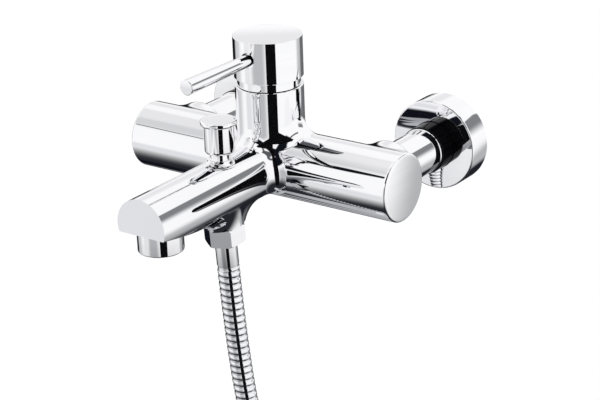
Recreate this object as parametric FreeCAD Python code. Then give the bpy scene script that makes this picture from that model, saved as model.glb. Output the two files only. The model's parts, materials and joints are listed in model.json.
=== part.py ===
"""Wall mounted single lever bath and shower mixer, with its shower hose, in millimetres.

X runs along the wall, Y runs into the wall and Z is up. The origin is on the wall, midway
between the two water inlets and level with the axis of the body.
"""
import FreeCAD
import Part

import math
import os

V = FreeCAD.Vector

# ---- overall sizes
INLET_SPACING = 150.0          # between the two wall connections
WALL_TO_BODY = 92.0            # from the wall to the axis of the body
BODY_OVERHANG = 25.0           # body beyond the axis of each inlet
BODY_LENGTH = INLET_SPACING + 2 * BODY_OVERHANG
SPOUT_REACH = 223.4            # from the wall to the face of the spout
COLUMN_TOP = 51.0              # top of the casting above its axis

# ---- clearances
FIT_GAP = 0.05                 # threads and slip fits within one body, on the radius
RUN_GAP = 0.1                  # turning and sliding fits, on the radius
SEAT_CLEARANCE = 0.2           # cartridge in its bore, on the radius

# ---- casting
TUBE_R = 21.8
TUBE_WALL = 6.3
COLUMN_WALL = 4.3
SPOUT_R = 17.8
SPOUT_DROP = 0.5               # spout axis below the body axis
SPOUT_FLAT = 5.5               # flat underside below the spout axis, at the face
SPOUT_SLOPE = 12.0             # degrees, the underside falls away from the face
AERATOR_GAP = 0.4              # round the aerator in the underside
STUB_R = 14.5
NECK_R = 19.3                  # the thick root of each inlet stub
NECK_END = 66.0                # from the wall to the end of the root
NECK_TAPER = 4.8
STUB_END = 33.0                # from the wall to the end of an inlet stub
CHAMBER_R = TUBE_R - TUBE_WALL
CHAMBER_INNER_X = 27.0
INLET_BORE_R = 8.0
PORT_R = 3.4
PORT_X = 8.5
PORT_Y = 3.0
OUTLET_PORT_R = 4.0
OUTLET_PORT_Y = 9.0
CROSS_DRILL_Z = 1.5
REAR_CHANNEL_Z = 1.0
REAR_CHANNEL_R = 4.0
FRONT_CHANNEL_Z = 9.6
FRONT_CHANNEL_R = 3.4

# ---- end caps
CAP_RIM = 3.0
CAP_ROUNDING = 1.4
SPIGOT_LENGTH = 10.0
SEAL_WIRE_R = 0.75
SEAL_GROOVE = 2.4

# ---- wall connections
UNION_THREAD_R = 13.22         # G 3/4
UNION_NUT_WALL = 2.38
UNION_NUT_R = UNION_THREAD_R + UNION_NUT_WALL
UNION_NUT_FRONT = 32.6
UNION_NUT_BACK = 13.0
UNION_NUT_CHAMFER = 0.7
WALL_THREAD_R = 10.48          # G 1/2
WALL_THREAD_IN_WALL = 15.0
UNION_OFFSET = 6.0             # eccentricity, turned upwards
UNION_FRONT_FACE = 26.4
UNION_STEP = 9.0
UNION_NECK_R = 11.3
UNION_REAR_BORE_R = 7.2
TAIL_R = 10.4
TAIL_IN_BODY = 13.0
TAIL_BORE_R = 7.5
TAIL_FLANGE_R = UNION_THREAD_R - 0.32
TAIL_FLANGE = 2.0
INLET_WASHER = 2.0
ESCUTCHEON_R = 29.9
ESCUTCHEON_DEPTH = 17.7
ESCUTCHEON_WALL = 1.2
ESCUTCHEON_HOLE_GAP = 0.4
GRIP_RING_WALL = 2.0
GRIP_RING_WIDTH = 2.0

# ---- cartridge
CARTRIDGE_R = 17.4
CARTRIDGE_SEAT_R = CARTRIDGE_R + SEAT_CLEARANCE
COLUMN_R = CARTRIDGE_SEAT_R + COLUMN_WALL
CARTRIDGE_FLOOR = 11.0
HOUSING_WALL = 2.6
HOUSING_INNER_R = CARTRIDGE_R - HOUSING_WALL
HOUSING_NECK_STEP = 1.8
HOUSING_NECK_R = HOUSING_INNER_R - HOUSING_NECK_STEP
HOUSING_NECK_WALL = 1.2
HOUSING_NECK_INNER_R = HOUSING_NECK_R - HOUSING_NECK_WALL
BASE_SEAL = 1.2
BASE = 3.8
FIXED_DISC = 4.0
FIXED_DISC_R = HOUSING_INNER_R - 0.3
DISC_TRAVEL = 3.5              # free ring round the moving disc
MOVING_DISC = 3.5
MOVING_DISC_R = FIXED_DISC_R - DISC_TRAVEL
CARRIER_R = MOVING_DISC_R + 0.5
CARRIER = 4.4
CARRIER_SHIFT = 2.35           # rest place of the disc, towards the wall
CARRIER_POCKET_R = 4.4
HOUSING_SHOULDER = 42.0
HOUSING_PLATE = 2.0
HOUSING_TOP = 50.0
GUIDE_FOOT = 28.6
GUIDE_NECK_R = HOUSING_NECK_INNER_R - 2 * RUN_GAP
GUIDE_TOP = 52.0
SLOT_HALF_Y = 9.2
PIVOT_Z = 46.0
PIVOT_PIN_R = 1.5
PIVOT_PIN_HALF = 9.0
STEM_HALF_X = 4.0
STEM_BARREL_R = 4.5
STEM_LOWER_R = 3.0
STEM_BOTTOM = 24.6
STEM_SQUARE = 7.0
STEM_TOP = 76.0
CARTRIDGE_NUT_R = CARTRIDGE_R + 1.55
CARTRIDGE_NUT_INNER_R = HOUSING_NECK_R + 2 * RUN_GAP
CARTRIDGE_NUT_TOP = 50.6
COLLAR_SETBACK = 1.7
COLLAR_R = COLUMN_R - COLLAR_SETBACK
COLLAR_INNER_R = CARTRIDGE_NUT_INNER_R + 0.8
COLLAR_TOP = 57.2
COLLAR_WALL = 1.0
COLLAR_FLOOR = 1.9
COLLAR_SHADOW_GAP = 0.3

# ---- handle
HANDLE_R = COLUMN_R + 0.1
HANDLE_BOTTOM = 56.7
HANDLE_TOP = 83.4
HANDLE_SKIRT = 1.1
HANDLE_CAVITY_TOP = 64.5
LEVER_Z = 71.8
LEVER_TIP = 174.2              # from the wall
LEVER_TIP_R = 4.8
LEVER_ROOT_R = 3.85
LEVER_RECESS_R = 5.0
LEVER_RECESS = 3.2
LEVER_THREAD_R = 3.0
LEVER_THREAD_STOP = 8.0        # from the axis of the handle
SCREW_R = 2.5
SCREW_LENGTH = 8.0
SCREW_SOCKET_R = 1.25
SCREW_Z = 70.0
PLUG_R = 3.2
PLUG_DEPTH = 2.8

# ---- diverter
AERATOR_SETBACK = 17.2         # from the face of the spout
DIVERTER_SETBACK = 61.0        # from the axis of the aerator
AERATOR_Y = SPOUT_REACH - AERATOR_SETBACK
DIVERTER_Y = AERATOR_Y - DIVERTER_SETBACK
DIVERTER_PAD_R = 8.2
DIVERTER_PAD_RISE = 1.1
CHAMBER_LOW = -6.0
CHAMBER_SEAT = 6.0
DIVERTER_CHAMBER_R = 8.5
DIVERTER_UPPER_R = 6.0
DIVERTER_OUTLET_R = 6.0
GLAND_R = 6.35
GLAND_BOTTOM = 12.5
GLAND_TOP = 25.5
DIVERTER_STEM_R = 2.0
GLAND_RING_WIRE_R = 0.7
GLAND_RING_R = DIVERTER_STEM_R + 0.9
GLAND_GROOVE_R = GLAND_RING_R + 0.8
GLAND_GROOVE_LOW = 15.0
GLAND_GROOVE_HIGH = 19.0
KNOB_CAVITY_R = GLAND_R + 0.45
KNOB_WALL = 2.7
KNOB_R = KNOB_CAVITY_R + KNOB_WALL
KNOB_FLANGE = 3.2
KNOB_FLANGE_R = KNOB_R + 2.0
KNOB_BOTTOM = 22.0
KNOB_TOP = 43.3
KNOB_CAVITY_TOP = 31.0
KNOB_ROUNDING = 1.2
DIVERTER_STEM_TOP = 38.0
VALVE_R = DIVERTER_CHAMBER_R - 0.9
VALVE = 2.0
VALVE_SEAL = 1.0
VALVE_SEAL_R = VALVE_R - 0.2
SEAT_GAP = 0.1
SPRING_R = 4.2
SPRING_WIRE_R = 0.45
SPRING_TURNS = 5.0
SPRING_GAP = 0.2

# ---- aerator
AERATOR_R = 14.1
AERATOR_BOTTOM = -20.2
AERATOR_THREAD_R = 11.9
AERATOR_THREAD = 5.5
AERATOR_BORE_R = 10.2
AERATOR_LIP_R = 9.0
AERATOR_LIP = 1.4
AERATOR_SCREEN = 0.6
AERATOR_WASHER = 1.8
AERATOR_WASHER_INNER_R = 8.6
AERATOR_RISER_R = 8.0
AERATOR_HOLE_R = 1.25
AERATOR_HOLE_PITCH = 3.4

# ---- shower outlet
OUTLET_TILT = 4.56             # degrees from upright, leaning towards the wall
BOSS_END = -25.0
BOSS_END_R = 12.8
BOSS_ROOT_R = 17.6
BOSS_LENGTH = 19.0
NIPPLE_UPPER_R = 8.9
NIPPLE_UPPER = 10.0
NIPPLE_LOWER = 6.8
NIPPLE_BORE_R = 6.2
CHECK_VALVE_R = 6.1
CHECK_VALVE_LENGTH = 12.0
HOSE_NUT_FLATS = 23.0
HOSE_NUT_LENGTH = 11.9
HOSE_NUT_WALL = 2.0
HOSE_NUT_TURN = 35.0           # degrees, angle of one corner of the hexagon
HOSE_NUT_CHAMFER_R = 12.6
HOSE_WASHER = 1.8
HOSE_BORE_R = 5.0
INSERT_FLANGE_R = 9.8
INSERT_FLANGE = 1.5
FERRULE_R = 7.05
FERRULE_LENGTH = 16.6

# ---- shower hose
HOSE_R = 7.2
HOSE_LENGTH = 1500.0           # between the outer ends of its two nuts
LEAD_RUNS = (114.8, 54.6, 43.0, 43.0, 43.0)
LEAD_HEADINGS = (0.0, 30.0, 60.0, 30.0, 0.0)   # degrees from straight down, towards +X
COIL_R = 86.0
COIL_TURNS = 2
COIL_PITCH = 17.5
TIE = 1.2
TIE_SPAN = 6.0                 # degrees round the coil
TIE_ANGLES = (112.0, 248.0)
TAIL_LENGTH = 77.6
END_FERRULE = 18.0
END_FLANGE_R = FERRULE_R + 2.55
END_FLANGE = 2.0
HANDSET_NUT_WALL = 1.5
HANDSET_NUT_TOP_R = FERRULE_R + 1.55
HANDSET_NUT_NECK = 4.0
HANDSET_NUT_SHOULDER_R = END_FLANGE_R + RUN_GAP + HANDSET_NUT_WALL
HANDSET_NUT_R = WALL_THREAD_R + RUN_GAP + HANDSET_NUT_WALL + 0.3
HANDSET_NUT_CONE = 16.0
HANDSET_NUT_SKIRT = 6.0

AXIS_Y = -WALL_TO_BODY
TUBE_END = BODY_LENGTH / 2 - CAP_RIM
SPOUT_Z = -SPOUT_DROP
SPOUT_UNDER = SPOUT_Z - SPOUT_FLAT
SPOUT_CREST = SPOUT_Z + SPOUT_R
PAD_TOP = SPOUT_CREST + DIVERTER_PAD_RISE
DISC_LOW = CARTRIDGE_FLOOR + BASE_SEAL + BASE
MOVING_LOW = DISC_LOW + FIXED_DISC
CARRIER_LOW = MOVING_LOW + MOVING_DISC
TAN_TILT = math.tan(math.radians(OUTLET_TILT))
OUTLET_DIR = V(0, math.sin(math.radians(OUTLET_TILT)), -math.cos(math.radians(OUTLET_TILT)))
OUTLET_POINT = V(0, -DIVERTER_Y, BOSS_END)
HOSE_NUT_START = 0.3
INSERT_START = NIPPLE_LOWER + HOSE_WASHER
FERRULE_START = HOSE_NUT_START + HOSE_NUT_LENGTH
HOSE_START = FERRULE_START + FERRULE_LENGTH


# ---------------------------------------------------------------- helpers
def turned(profile, base=V(0, 0, 0), direction=V(0, 0, 1)):
    """A solid of revolution: profile is a list of (radius, distance along the axis)."""
    points = [V(radius, 0, along) for radius, along in profile]
    face = Part.Face(Part.makePolygon(points + points[:1]))
    solid = face.revolve(V(0, 0, 0), V(0, 0, 1), 360)
    turn = FreeCAD.Rotation(V(0, 0, 1), direction)
    solid.Placement = FreeCAD.Placement(base, turn)
    return solid


def rod(radius, start, end):
    """A round bar between two points."""
    return Part.makeCylinder(radius, (end - start).Length, start, end - start)


def ring(outer, inner, low, high, base=V(0, 0, 0), direction=V(0, 0, 1)):
    """A flat ring of rectangular section between two distances along its axis."""
    return turned([(inner, low), (outer, low), (outer, high), (inner, high)], base, direction)


def disc(radius, low, high, base=V(0, 0, 0), direction=V(0, 0, 1)):
    """A plain disc between two distances along its axis."""
    return turned([(0, low), (radius, low), (radius, high), (0, high)], base, direction)


def save(shape, name):
    """Write one sub-part."""
    shape.exportStep("parts/" + name + ".step")


# ---------------------------------------------------------------- casting
def casting_outside():
    """The outer form: body tube, column, spout, two inlet stubs and the outlet boss."""
    axis = V(0, AXIS_Y, 0)
    form = rod(TUBE_R, V(-TUBE_END, AXIS_Y, 0), V(TUBE_END, AXIS_Y, 0))
    column = Part.makeCylinder(COLUMN_R, COLUMN_TOP, axis, V(0, 0, 1))
    spout = rod(SPOUT_R, V(0, AXIS_Y, SPOUT_Z), V(0, -SPOUT_REACH, SPOUT_Z))
    low = SPOUT_UNDER - math.tan(math.radians(SPOUT_SLOPE)) * (SPOUT_REACH + AXIS_Y)
    side_view = [V(-2 * SPOUT_R, -SPOUT_REACH, SPOUT_UNDER), V(-2 * SPOUT_R, AXIS_Y, low),
                 V(-2 * SPOUT_R, -SPOUT_REACH, low), V(-2 * SPOUT_R, -SPOUT_REACH, SPOUT_UNDER)]
    under = Part.Face(Part.makePolygon(side_view)).extrude(V(4 * SPOUT_R, 0, 0))
    spout = spout.cut(under).cut(disc(AERATOR_R + AERATOR_GAP, low, SPOUT_UNDER, AERATOR_POINT))
    boss = turned([(0, -BOSS_LENGTH), (BOSS_ROOT_R, -BOSS_LENGTH), (BOSS_END_R, 0), (0, 0)],
                  OUTLET_POINT, OUTLET_DIR)
    above_spout = Part.makeBox(4 * BOSS_ROOT_R, 4 * BOSS_ROOT_R, 4 * BOSS_ROOT_R,
                               V(-2 * BOSS_ROOT_R, -DIVERTER_Y - 2 * BOSS_ROOT_R, SPOUT_UNDER + SPOUT_FLAT))
    boss = boss.cut(above_spout)
    pad = Part.makeCylinder(DIVERTER_PAD_R, PAD_TOP - SPOUT_Z, V(0, -DIVERTER_Y, SPOUT_Z), V(0, 0, 1))
    form = form.multiFuse([column, spout, boss, pad])
    for side in (-1, 1):
        x = side * INLET_SPACING / 2
        neck = -NECK_END - AXIS_Y
        root = turned([(0, 0), (NECK_R, 0), (NECK_R, neck - NECK_TAPER), (NECK_R - 0.3 * NECK_TAPER,
                       neck - 0.3 * NECK_TAPER), (STUB_R, neck), (0, neck)], V(x, AXIS_Y, 0), V(0, 1, 0))
        form = form.fuse([rod(STUB_R, V(x, AXIS_Y, 0), V(x, -STUB_END, 0)), root])
    return form.removeSplitter()


def casting_bores():
    """Every waterway, seat and threaded bore inside the casting."""
    axis = V(0, AXIS_Y, 0)
    bores = []
    for side in (-1, 1):
        x = side * INLET_SPACING / 2
        chamber = V(side * CHAMBER_INNER_X, AXIS_Y, 0)
        bores.append(rod(CHAMBER_R, chamber, V(side * (TUBE_END + 1), AXIS_Y, 0)))
        bores.append(rod(INLET_BORE_R, V(x, AXIS_Y, 0), V(x, -STUB_END + 1, 0)))
        bores.append(rod(TAIL_R + FIT_GAP, V(x, -STUB_END - TAIL_IN_BODY, 0), V(x, -STUB_END + 1, 0)))
        port = V(side * PORT_X, AXIS_Y + PORT_Y, CROSS_DRILL_Z)
        bores.append(rod(PORT_R, port, V(side * (CHAMBER_INNER_X + 1), AXIS_Y + PORT_Y, CROSS_DRILL_Z)))
        bores.append(rod(PORT_R, port, port + V(0, 0, CARTRIDGE_FLOOR - CROSS_DRILL_Z + 1)))
    bores.append(disc(CARTRIDGE_SEAT_R, CARTRIDGE_FLOOR, COLUMN_TOP + 1, axis))
    bores.append(disc(CARTRIDGE_NUT_R + FIT_GAP, HOUSING_SHOULDER, COLUMN_TOP + 1, axis))
    drop = V(0, AXIS_Y - OUTLET_PORT_Y, REAR_CHANNEL_Z)
    bores.append(rod(OUTLET_PORT_R, drop, drop + V(0, 0, CARTRIDGE_FLOOR - REAR_CHANNEL_Z + 1)))
    bores.append(rod(REAR_CHANNEL_R, drop, V(0, -DIVERTER_Y, REAR_CHANNEL_Z)))
    bores.append(rod(FRONT_CHANNEL_R, V(0, -DIVERTER_Y, FRONT_CHANNEL_Z), V(0, -AERATOR_Y, FRONT_CHANNEL_Z)))
    diverter = V(0, -DIVERTER_Y, 0)
    bores.append(disc(DIVERTER_CHAMBER_R, CHAMBER_LOW, CHAMBER_SEAT, diverter))
    bores.append(disc(DIVERTER_UPPER_R, CHAMBER_LOW, PAD_TOP, diverter))
    bores.append(disc(GLAND_R + FIT_GAP, GLAND_BOTTOM, PAD_TOP + 1, diverter))
    bores.append(disc(DIVERTER_OUTLET_R, BOSS_END + NIPPLE_UPPER / 2, CHAMBER_LOW + 1, diverter))
    bores.append(disc(NIPPLE_UPPER_R + FIT_GAP, -NIPPLE_UPPER, 1, OUTLET_POINT, OUTLET_DIR))
    aerator = V(0, -AERATOR_Y, 0)
    top = SPOUT_UNDER + AERATOR_THREAD + AERATOR_WASHER + SEAT_GAP
    bores.append(disc(AERATOR_THREAD_R + FIT_GAP, SPOUT_UNDER - 1, top, aerator))
    bores.append(disc(AERATOR_RISER_R, SPOUT_UNDER, FRONT_CHANNEL_Z + 1, aerator))
    return bores


def valve_body():
    """The one-piece brass casting."""
    body = casting_outside()
    for bore in casting_bores():
        body = body.cut(bore)
    return body


# ---------------------------------------------------------------- ends of the body tube
def end_cap(side):
    """A turned cap that closes one end of the body tube."""
    out = V(side, 0, 0)
    base = V(0, AXIS_Y, 0)
    head = disc(TUBE_R, TUBE_END, TUBE_END + CAP_RIM, base, out)
    rim = [edge for edge in head.Edges if edge.Length > math.pi * TUBE_R
           and abs(edge.CenterOfMass.x * side - TUBE_END - CAP_RIM) < 0.01]
    head = head.makeFillet(CAP_ROUNDING, rim)
    groove = TUBE_END - SPIGOT_LENGTH / 2
    spigot_r = CHAMBER_R - FIT_GAP
    groove_r = spigot_r - 2 * SEAL_WIRE_R - FIT_GAP
    inner_r = groove_r - 3.0
    spigot = turned([(inner_r, TUBE_END - SPIGOT_LENGTH), (spigot_r, TUBE_END - SPIGOT_LENGTH),
                     (spigot_r, groove - SEAL_GROOVE / 2), (groove_r, groove - SEAL_GROOVE / 2),
                     (groove_r, groove + SEAL_GROOVE / 2), (spigot_r, groove + SEAL_GROOVE / 2),
                     (spigot_r, TUBE_END), (inner_r, TUBE_END)], base, out)
    return head.fuse(spigot)


def end_cap_seal(side):
    """The O-ring in the groove of an end cap."""
    centre = V(side * (TUBE_END - SPIGOT_LENGTH / 2), AXIS_Y, 0)
    return Part.makeTorus(CHAMBER_R - FIT_GAP - SEAL_WIRE_R, SEAL_WIRE_R, centre, V(1, 0, 0))


# ---------------------------------------------------------------- wall connections
def wall_axis(side):
    """The foot of one wall connection, on the wall."""
    return V(side * INLET_SPACING / 2, 0, 0)


OUT_OF_WALL = V(0, -1, 0)
TAIL_FACE = UNION_FRONT_FACE + INLET_WASHER
SHOULDER_FACE = TAIL_FACE + TAIL_FLANGE + SEAT_GAP


def union_nut(side):
    """A round nut that pulls the inlet tail onto the wall union."""
    bore = TAIL_R + 0.5
    thread = UNION_THREAD_R + RUN_GAP
    chamfer = UNION_NUT_CHAMFER
    return turned([(thread, UNION_NUT_BACK), (UNION_NUT_R, UNION_NUT_BACK),
                   (UNION_NUT_R, UNION_NUT_FRONT - chamfer), (UNION_NUT_R - chamfer, UNION_NUT_FRONT),
                   (bore, UNION_NUT_FRONT), (bore, SHOULDER_FACE), (thread, SHOULDER_FACE)],
                  wall_axis(side), OUT_OF_WALL)


def union_tail(side):
    """A threaded tail screwed into the inlet stub, with the flange that the nut bears on."""
    return turned([(TAIL_BORE_R, TAIL_FACE), (TAIL_FLANGE_R, TAIL_FACE),
                   (TAIL_FLANGE_R, TAIL_FACE + TAIL_FLANGE), (TAIL_R, TAIL_FACE + TAIL_FLANGE),
                   (TAIL_R, STUB_END + TAIL_IN_BODY - SEAT_GAP),
                   (TAIL_BORE_R, STUB_END + TAIL_IN_BODY - SEAT_GAP)],
                  wall_axis(side), OUT_OF_WALL)


def inlet_washer(side):
    """The sealing washer between tail and wall union."""
    return ring(TAIL_FLANGE_R - 0.2, TAIL_BORE_R, UNION_FRONT_FACE, TAIL_FACE, wall_axis(side), OUT_OF_WALL)


def eccentric_union(side):
    """The offset connector: a small thread in the wall and a large thread for the nut."""
    front = wall_axis(side)
    rear = front + V(0, 0, UNION_OFFSET)
    body = disc(UNION_THREAD_R, UNION_STEP, UNION_FRONT_FACE, front, OUT_OF_WALL)
    body = body.fuse(disc(UNION_NECK_R, 0, UNION_STEP + 4, rear, OUT_OF_WALL))
    body = body.fuse(disc(WALL_THREAD_R, -WALL_THREAD_IN_WALL, 0, rear, OUT_OF_WALL))
    body = body.cut(disc(INLET_BORE_R, UNION_STEP + 2, UNION_FRONT_FACE + 1, front, OUT_OF_WALL))
    return body.cut(disc(UNION_REAR_BORE_R, -WALL_THREAD_IN_WALL - 1, UNION_STEP + 3, rear, OUT_OF_WALL))


def escutcheon(side):
    """The deep round cover against the wall."""
    hole = UNION_NUT_R + ESCUTCHEON_HOLE_GAP
    inside = ESCUTCHEON_R - ESCUTCHEON_WALL
    floor = ESCUTCHEON_DEPTH - ESCUTCHEON_WALL
    return turned([(inside, 0), (ESCUTCHEON_R, 0), (ESCUTCHEON_R, ESCUTCHEON_DEPTH),
                   (hole, ESCUTCHEON_DEPTH), (hole, floor), (inside, floor)],
                  wall_axis(side), OUT_OF_WALL)


def grip_ring(side):
    """The rubber ring on the nut that holds the cover against the wall."""
    high = ESCUTCHEON_DEPTH - ESCUTCHEON_WALL
    return ring(UNION_NUT_R + GRIP_RING_WALL, UNION_NUT_R, high - GRIP_RING_WIDTH, high,
                wall_axis(side), OUT_OF_WALL)


# ---------------------------------------------------------------- cartridge
CARTRIDGE_BASE_POINT = V(0, AXIS_Y, 0)


def drilled(solid, low, high):
    """Cut the two inlet ports and the outlet port through a plate of the cartridge."""
    for side in (-1, 1):
        solid = solid.cut(disc(PORT_R, low - 1, high + 1, V(side * PORT_X, AXIS_Y + PORT_Y, 0)))
    return solid.cut(disc(OUTLET_PORT_R, low - 1, high + 1, V(0, AXIS_Y - OUTLET_PORT_Y, 0)))


def cartridge_plate(radius, low, high):
    """A drilled round plate."""
    return drilled(disc(radius, low, high, CARTRIDGE_BASE_POINT), low, high)


def cartridge_housing():
    """The plastic cup that holds the discs and the guide."""
    inner_top = HOUSING_SHOULDER - HOUSING_PLATE
    return turned([(HOUSING_INNER_R, DISC_LOW), (CARTRIDGE_R, DISC_LOW), (CARTRIDGE_R, HOUSING_SHOULDER),
                   (HOUSING_NECK_R, HOUSING_SHOULDER), (HOUSING_NECK_R, HOUSING_TOP),
                   (HOUSING_NECK_INNER_R, HOUSING_TOP), (HOUSING_NECK_INNER_R, inner_top),
                   (HOUSING_INNER_R, inner_top)], CARTRIDGE_BASE_POINT)


def moving_disc():
    """The ceramic disc that slides and turns on the fixed one."""
    centre = V(0, AXIS_Y + CARRIER_SHIFT, 0)
    plate = disc(MOVING_DISC_R, MOVING_LOW + SEAT_GAP, CARRIER_LOW, centre)
    passage = disc(MOVING_DISC_R / 2, MOVING_LOW, MOVING_LOW + MOVING_DISC / 2, centre)
    return plate.cut(passage)


def disc_carrier():
    """The plastic driver on the moving disc, with a pocket for the foot of the stem."""
    centre = V(0, AXIS_Y + CARRIER_SHIFT, 0)
    body = disc(CARRIER_R, CARRIER_LOW, CARRIER_LOW + CARRIER, centre)
    return body.cut(disc(CARRIER_POCKET_R, CARRIER_LOW + 0.7, CARRIER_LOW + CARRIER + 1,
                         CARTRIDGE_BASE_POINT))


def stem_guide():
    """The turning guide that carries the pivot pin."""
    foot_r = HOUSING_INNER_R - RUN_GAP * 2
    neck_low = HOUSING_SHOULDER - HOUSING_PLATE - SEAT_GAP
    body = turned([(0, GUIDE_FOOT), (foot_r, GUIDE_FOOT), (foot_r, neck_low), (GUIDE_NECK_R, neck_low),
                   (GUIDE_NECK_R, GUIDE_TOP), (0, GUIDE_TOP)], CARTRIDGE_BASE_POINT)
    half_x = STEM_HALF_X + RUN_GAP
    slot = Part.makeBox(2 * half_x, 2 * SLOT_HALF_Y, GUIDE_TOP - GUIDE_FOOT + 2,
                        V(-half_x, AXIS_Y - SLOT_HALF_Y, GUIDE_FOOT - 1))
    pin_hole = rod(PIVOT_PIN_R, V(-PIVOT_PIN_HALF, AXIS_Y, PIVOT_Z), V(PIVOT_PIN_HALF, AXIS_Y, PIVOT_Z))
    return body.cut(slot).cut(pin_hole)


def pivot_pin():
    """The pin that the stem rocks on."""
    return rod(PIVOT_PIN_R, V(-PIVOT_PIN_HALF, AXIS_Y, PIVOT_Z), V(PIVOT_PIN_HALF, AXIS_Y, PIVOT_Z))


def cartridge_stem():
    """The rocking stem: a foot in the carrier, a barrel on the pin and a square in the handle."""
    half = STEM_SQUARE / 2
    square = Part.makeBox(STEM_SQUARE, STEM_SQUARE, STEM_TOP - PIVOT_Z, V(-half, AXIS_Y - half, PIVOT_Z))
    barrel = rod(STEM_BARREL_R, V(-STEM_HALF_X, AXIS_Y, PIVOT_Z), V(STEM_HALF_X, AXIS_Y, PIVOT_Z))
    foot = disc(STEM_LOWER_R, STEM_BOTTOM, PIVOT_Z, CARTRIDGE_BASE_POINT)
    hole = rod(PIVOT_PIN_R + FIT_GAP, V(-2 * STEM_HALF_X, AXIS_Y, PIVOT_Z),
               V(2 * STEM_HALF_X, AXIS_Y, PIVOT_Z))
    return square.multiFuse([barrel, foot]).cut(hole)


def cartridge_nut():
    """The brass ring nut that clamps the cartridge, with four key slots."""
    nut = ring(CARTRIDGE_NUT_R, CARTRIDGE_NUT_INNER_R, HOUSING_SHOULDER, CARTRIDGE_NUT_TOP,
               CARTRIDGE_BASE_POINT)
    for step in range(2):
        slot = Part.makeBox(3 * CARTRIDGE_NUT_R, 4, 2, V(-1.5 * CARTRIDGE_NUT_R, -2, CARTRIDGE_NUT_TOP - 2))
        slot.rotate(V(0, 0, 0), V(0, 0, 1), 45 + 90 * step)
        slot.translate(CARTRIDGE_BASE_POINT)
        nut = nut.cut(slot)
    return nut


def collar_ring():
    """The chromed ring between the casting and the handle."""
    shelf = COLUMN_TOP + COLLAR_SHADOW_GAP
    return turned([(COLLAR_INNER_R, CARTRIDGE_NUT_TOP), (CARTRIDGE_NUT_R - 0.2, CARTRIDGE_NUT_TOP),
                   (CARTRIDGE_NUT_R - 0.2, shelf), (COLLAR_R, shelf), (COLLAR_R, COLLAR_TOP),
                   (COLLAR_R - COLLAR_WALL, COLLAR_TOP),
                   (COLLAR_R - COLLAR_WALL, CARTRIDGE_NUT_TOP + COLLAR_FLOOR),
                   (COLLAR_INNER_R, CARTRIDGE_NUT_TOP + COLLAR_FLOOR)], CARTRIDGE_BASE_POINT)


# ---------------------------------------------------------------- handle
HANDLE_FACE_Y = AXIS_Y - HANDLE_R
HANDLE_BACK_Y = AXIS_Y + HANDLE_R


def handle_cap():
    """The solid round handle body, hollow underneath, drilled for the lever and its screw."""
    cap = disc(HANDLE_R, HANDLE_BOTTOM, HANDLE_TOP, CARTRIDGE_BASE_POINT)
    cap = cap.cut(disc(HANDLE_R - HANDLE_SKIRT, HANDLE_BOTTOM - 1, HANDLE_CAVITY_TOP, CARTRIDGE_BASE_POINT))
    half = STEM_SQUARE / 2 + FIT_GAP
    cap = cap.cut(Part.makeBox(2 * half, 2 * half, STEM_TOP - HANDLE_CAVITY_TOP + 1 + FIT_GAP,
                               V(-half, AXIS_Y - half, HANDLE_CAVITY_TOP - 1)))
    cap = cap.cut(rod(LEVER_RECESS_R, V(0, HANDLE_FACE_Y - 1, LEVER_Z),
                      V(0, HANDLE_FACE_Y + LEVER_RECESS, LEVER_Z)))
    cap = cap.cut(rod(LEVER_THREAD_R + FIT_GAP, V(0, HANDLE_FACE_Y, LEVER_Z),
                      V(0, AXIS_Y - LEVER_THREAD_STOP, LEVER_Z)))
    cap = cap.cut(rod(SCREW_R + FIT_GAP, V(0, AXIS_Y, SCREW_Z), V(0, HANDLE_BACK_Y, SCREW_Z)))
    return cap.cut(rod(PLUG_R + FIT_GAP, V(0, HANDLE_BACK_Y - PLUG_DEPTH, SCREW_Z),
                       V(0, HANDLE_BACK_Y + 1, SCREW_Z)))


def lever_rod():
    """The tapered lever with its threaded root."""
    root = -HANDLE_FACE_Y - LEVER_RECESS
    stop = WALL_TO_BODY + LEVER_THREAD_STOP + 0.3
    return turned([(0, stop), (LEVER_THREAD_R, stop), (LEVER_THREAD_R, root), (LEVER_ROOT_R, root),
                   (LEVER_TIP_R, LEVER_TIP - 0.4), (LEVER_TIP_R - 0.4, LEVER_TIP), (0, LEVER_TIP)],
                  V(0, 0, LEVER_Z), OUT_OF_WALL)


def handle_set_screw():
    """The headless screw that clamps the handle on the stem."""
    tip = AXIS_Y + STEM_SQUARE / 2 + FIT_GAP
    screw = rod(SCREW_R, V(0, tip, SCREW_Z), V(0, tip + SCREW_LENGTH, SCREW_Z))
    socket = Part.Face(Part.makePolygon([
        V(SCREW_SOCKET_R * math.cos(math.radians(60 * k)), tip + SCREW_LENGTH,
          SCREW_Z + SCREW_SOCKET_R * math.sin(math.radians(60 * k))) for k in range(7)]))
    return screw.cut(socket.extrude(V(0, -3, 0)))


def screw_plug():
    """The small plastic plug over the screw hole."""
    low = V(0, HANDLE_BACK_Y - PLUG_DEPTH + FIT_GAP, SCREW_Z)
    return rod(PLUG_R, low, low + V(0, PLUG_DEPTH - 0.35, 0))


# ---------------------------------------------------------------- diverter
DIVERTER_POINT = V(0, -DIVERTER_Y, 0)
VALVE_STACK_LOW = CHAMBER_LOW + SEAT_GAP
VALVE_LOW = VALVE_STACK_LOW + VALVE_SEAL
VALVE_HIGH = VALVE_LOW + VALVE
VALVE_STACK_HIGH = VALVE_HIGH + VALVE_SEAL


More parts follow.
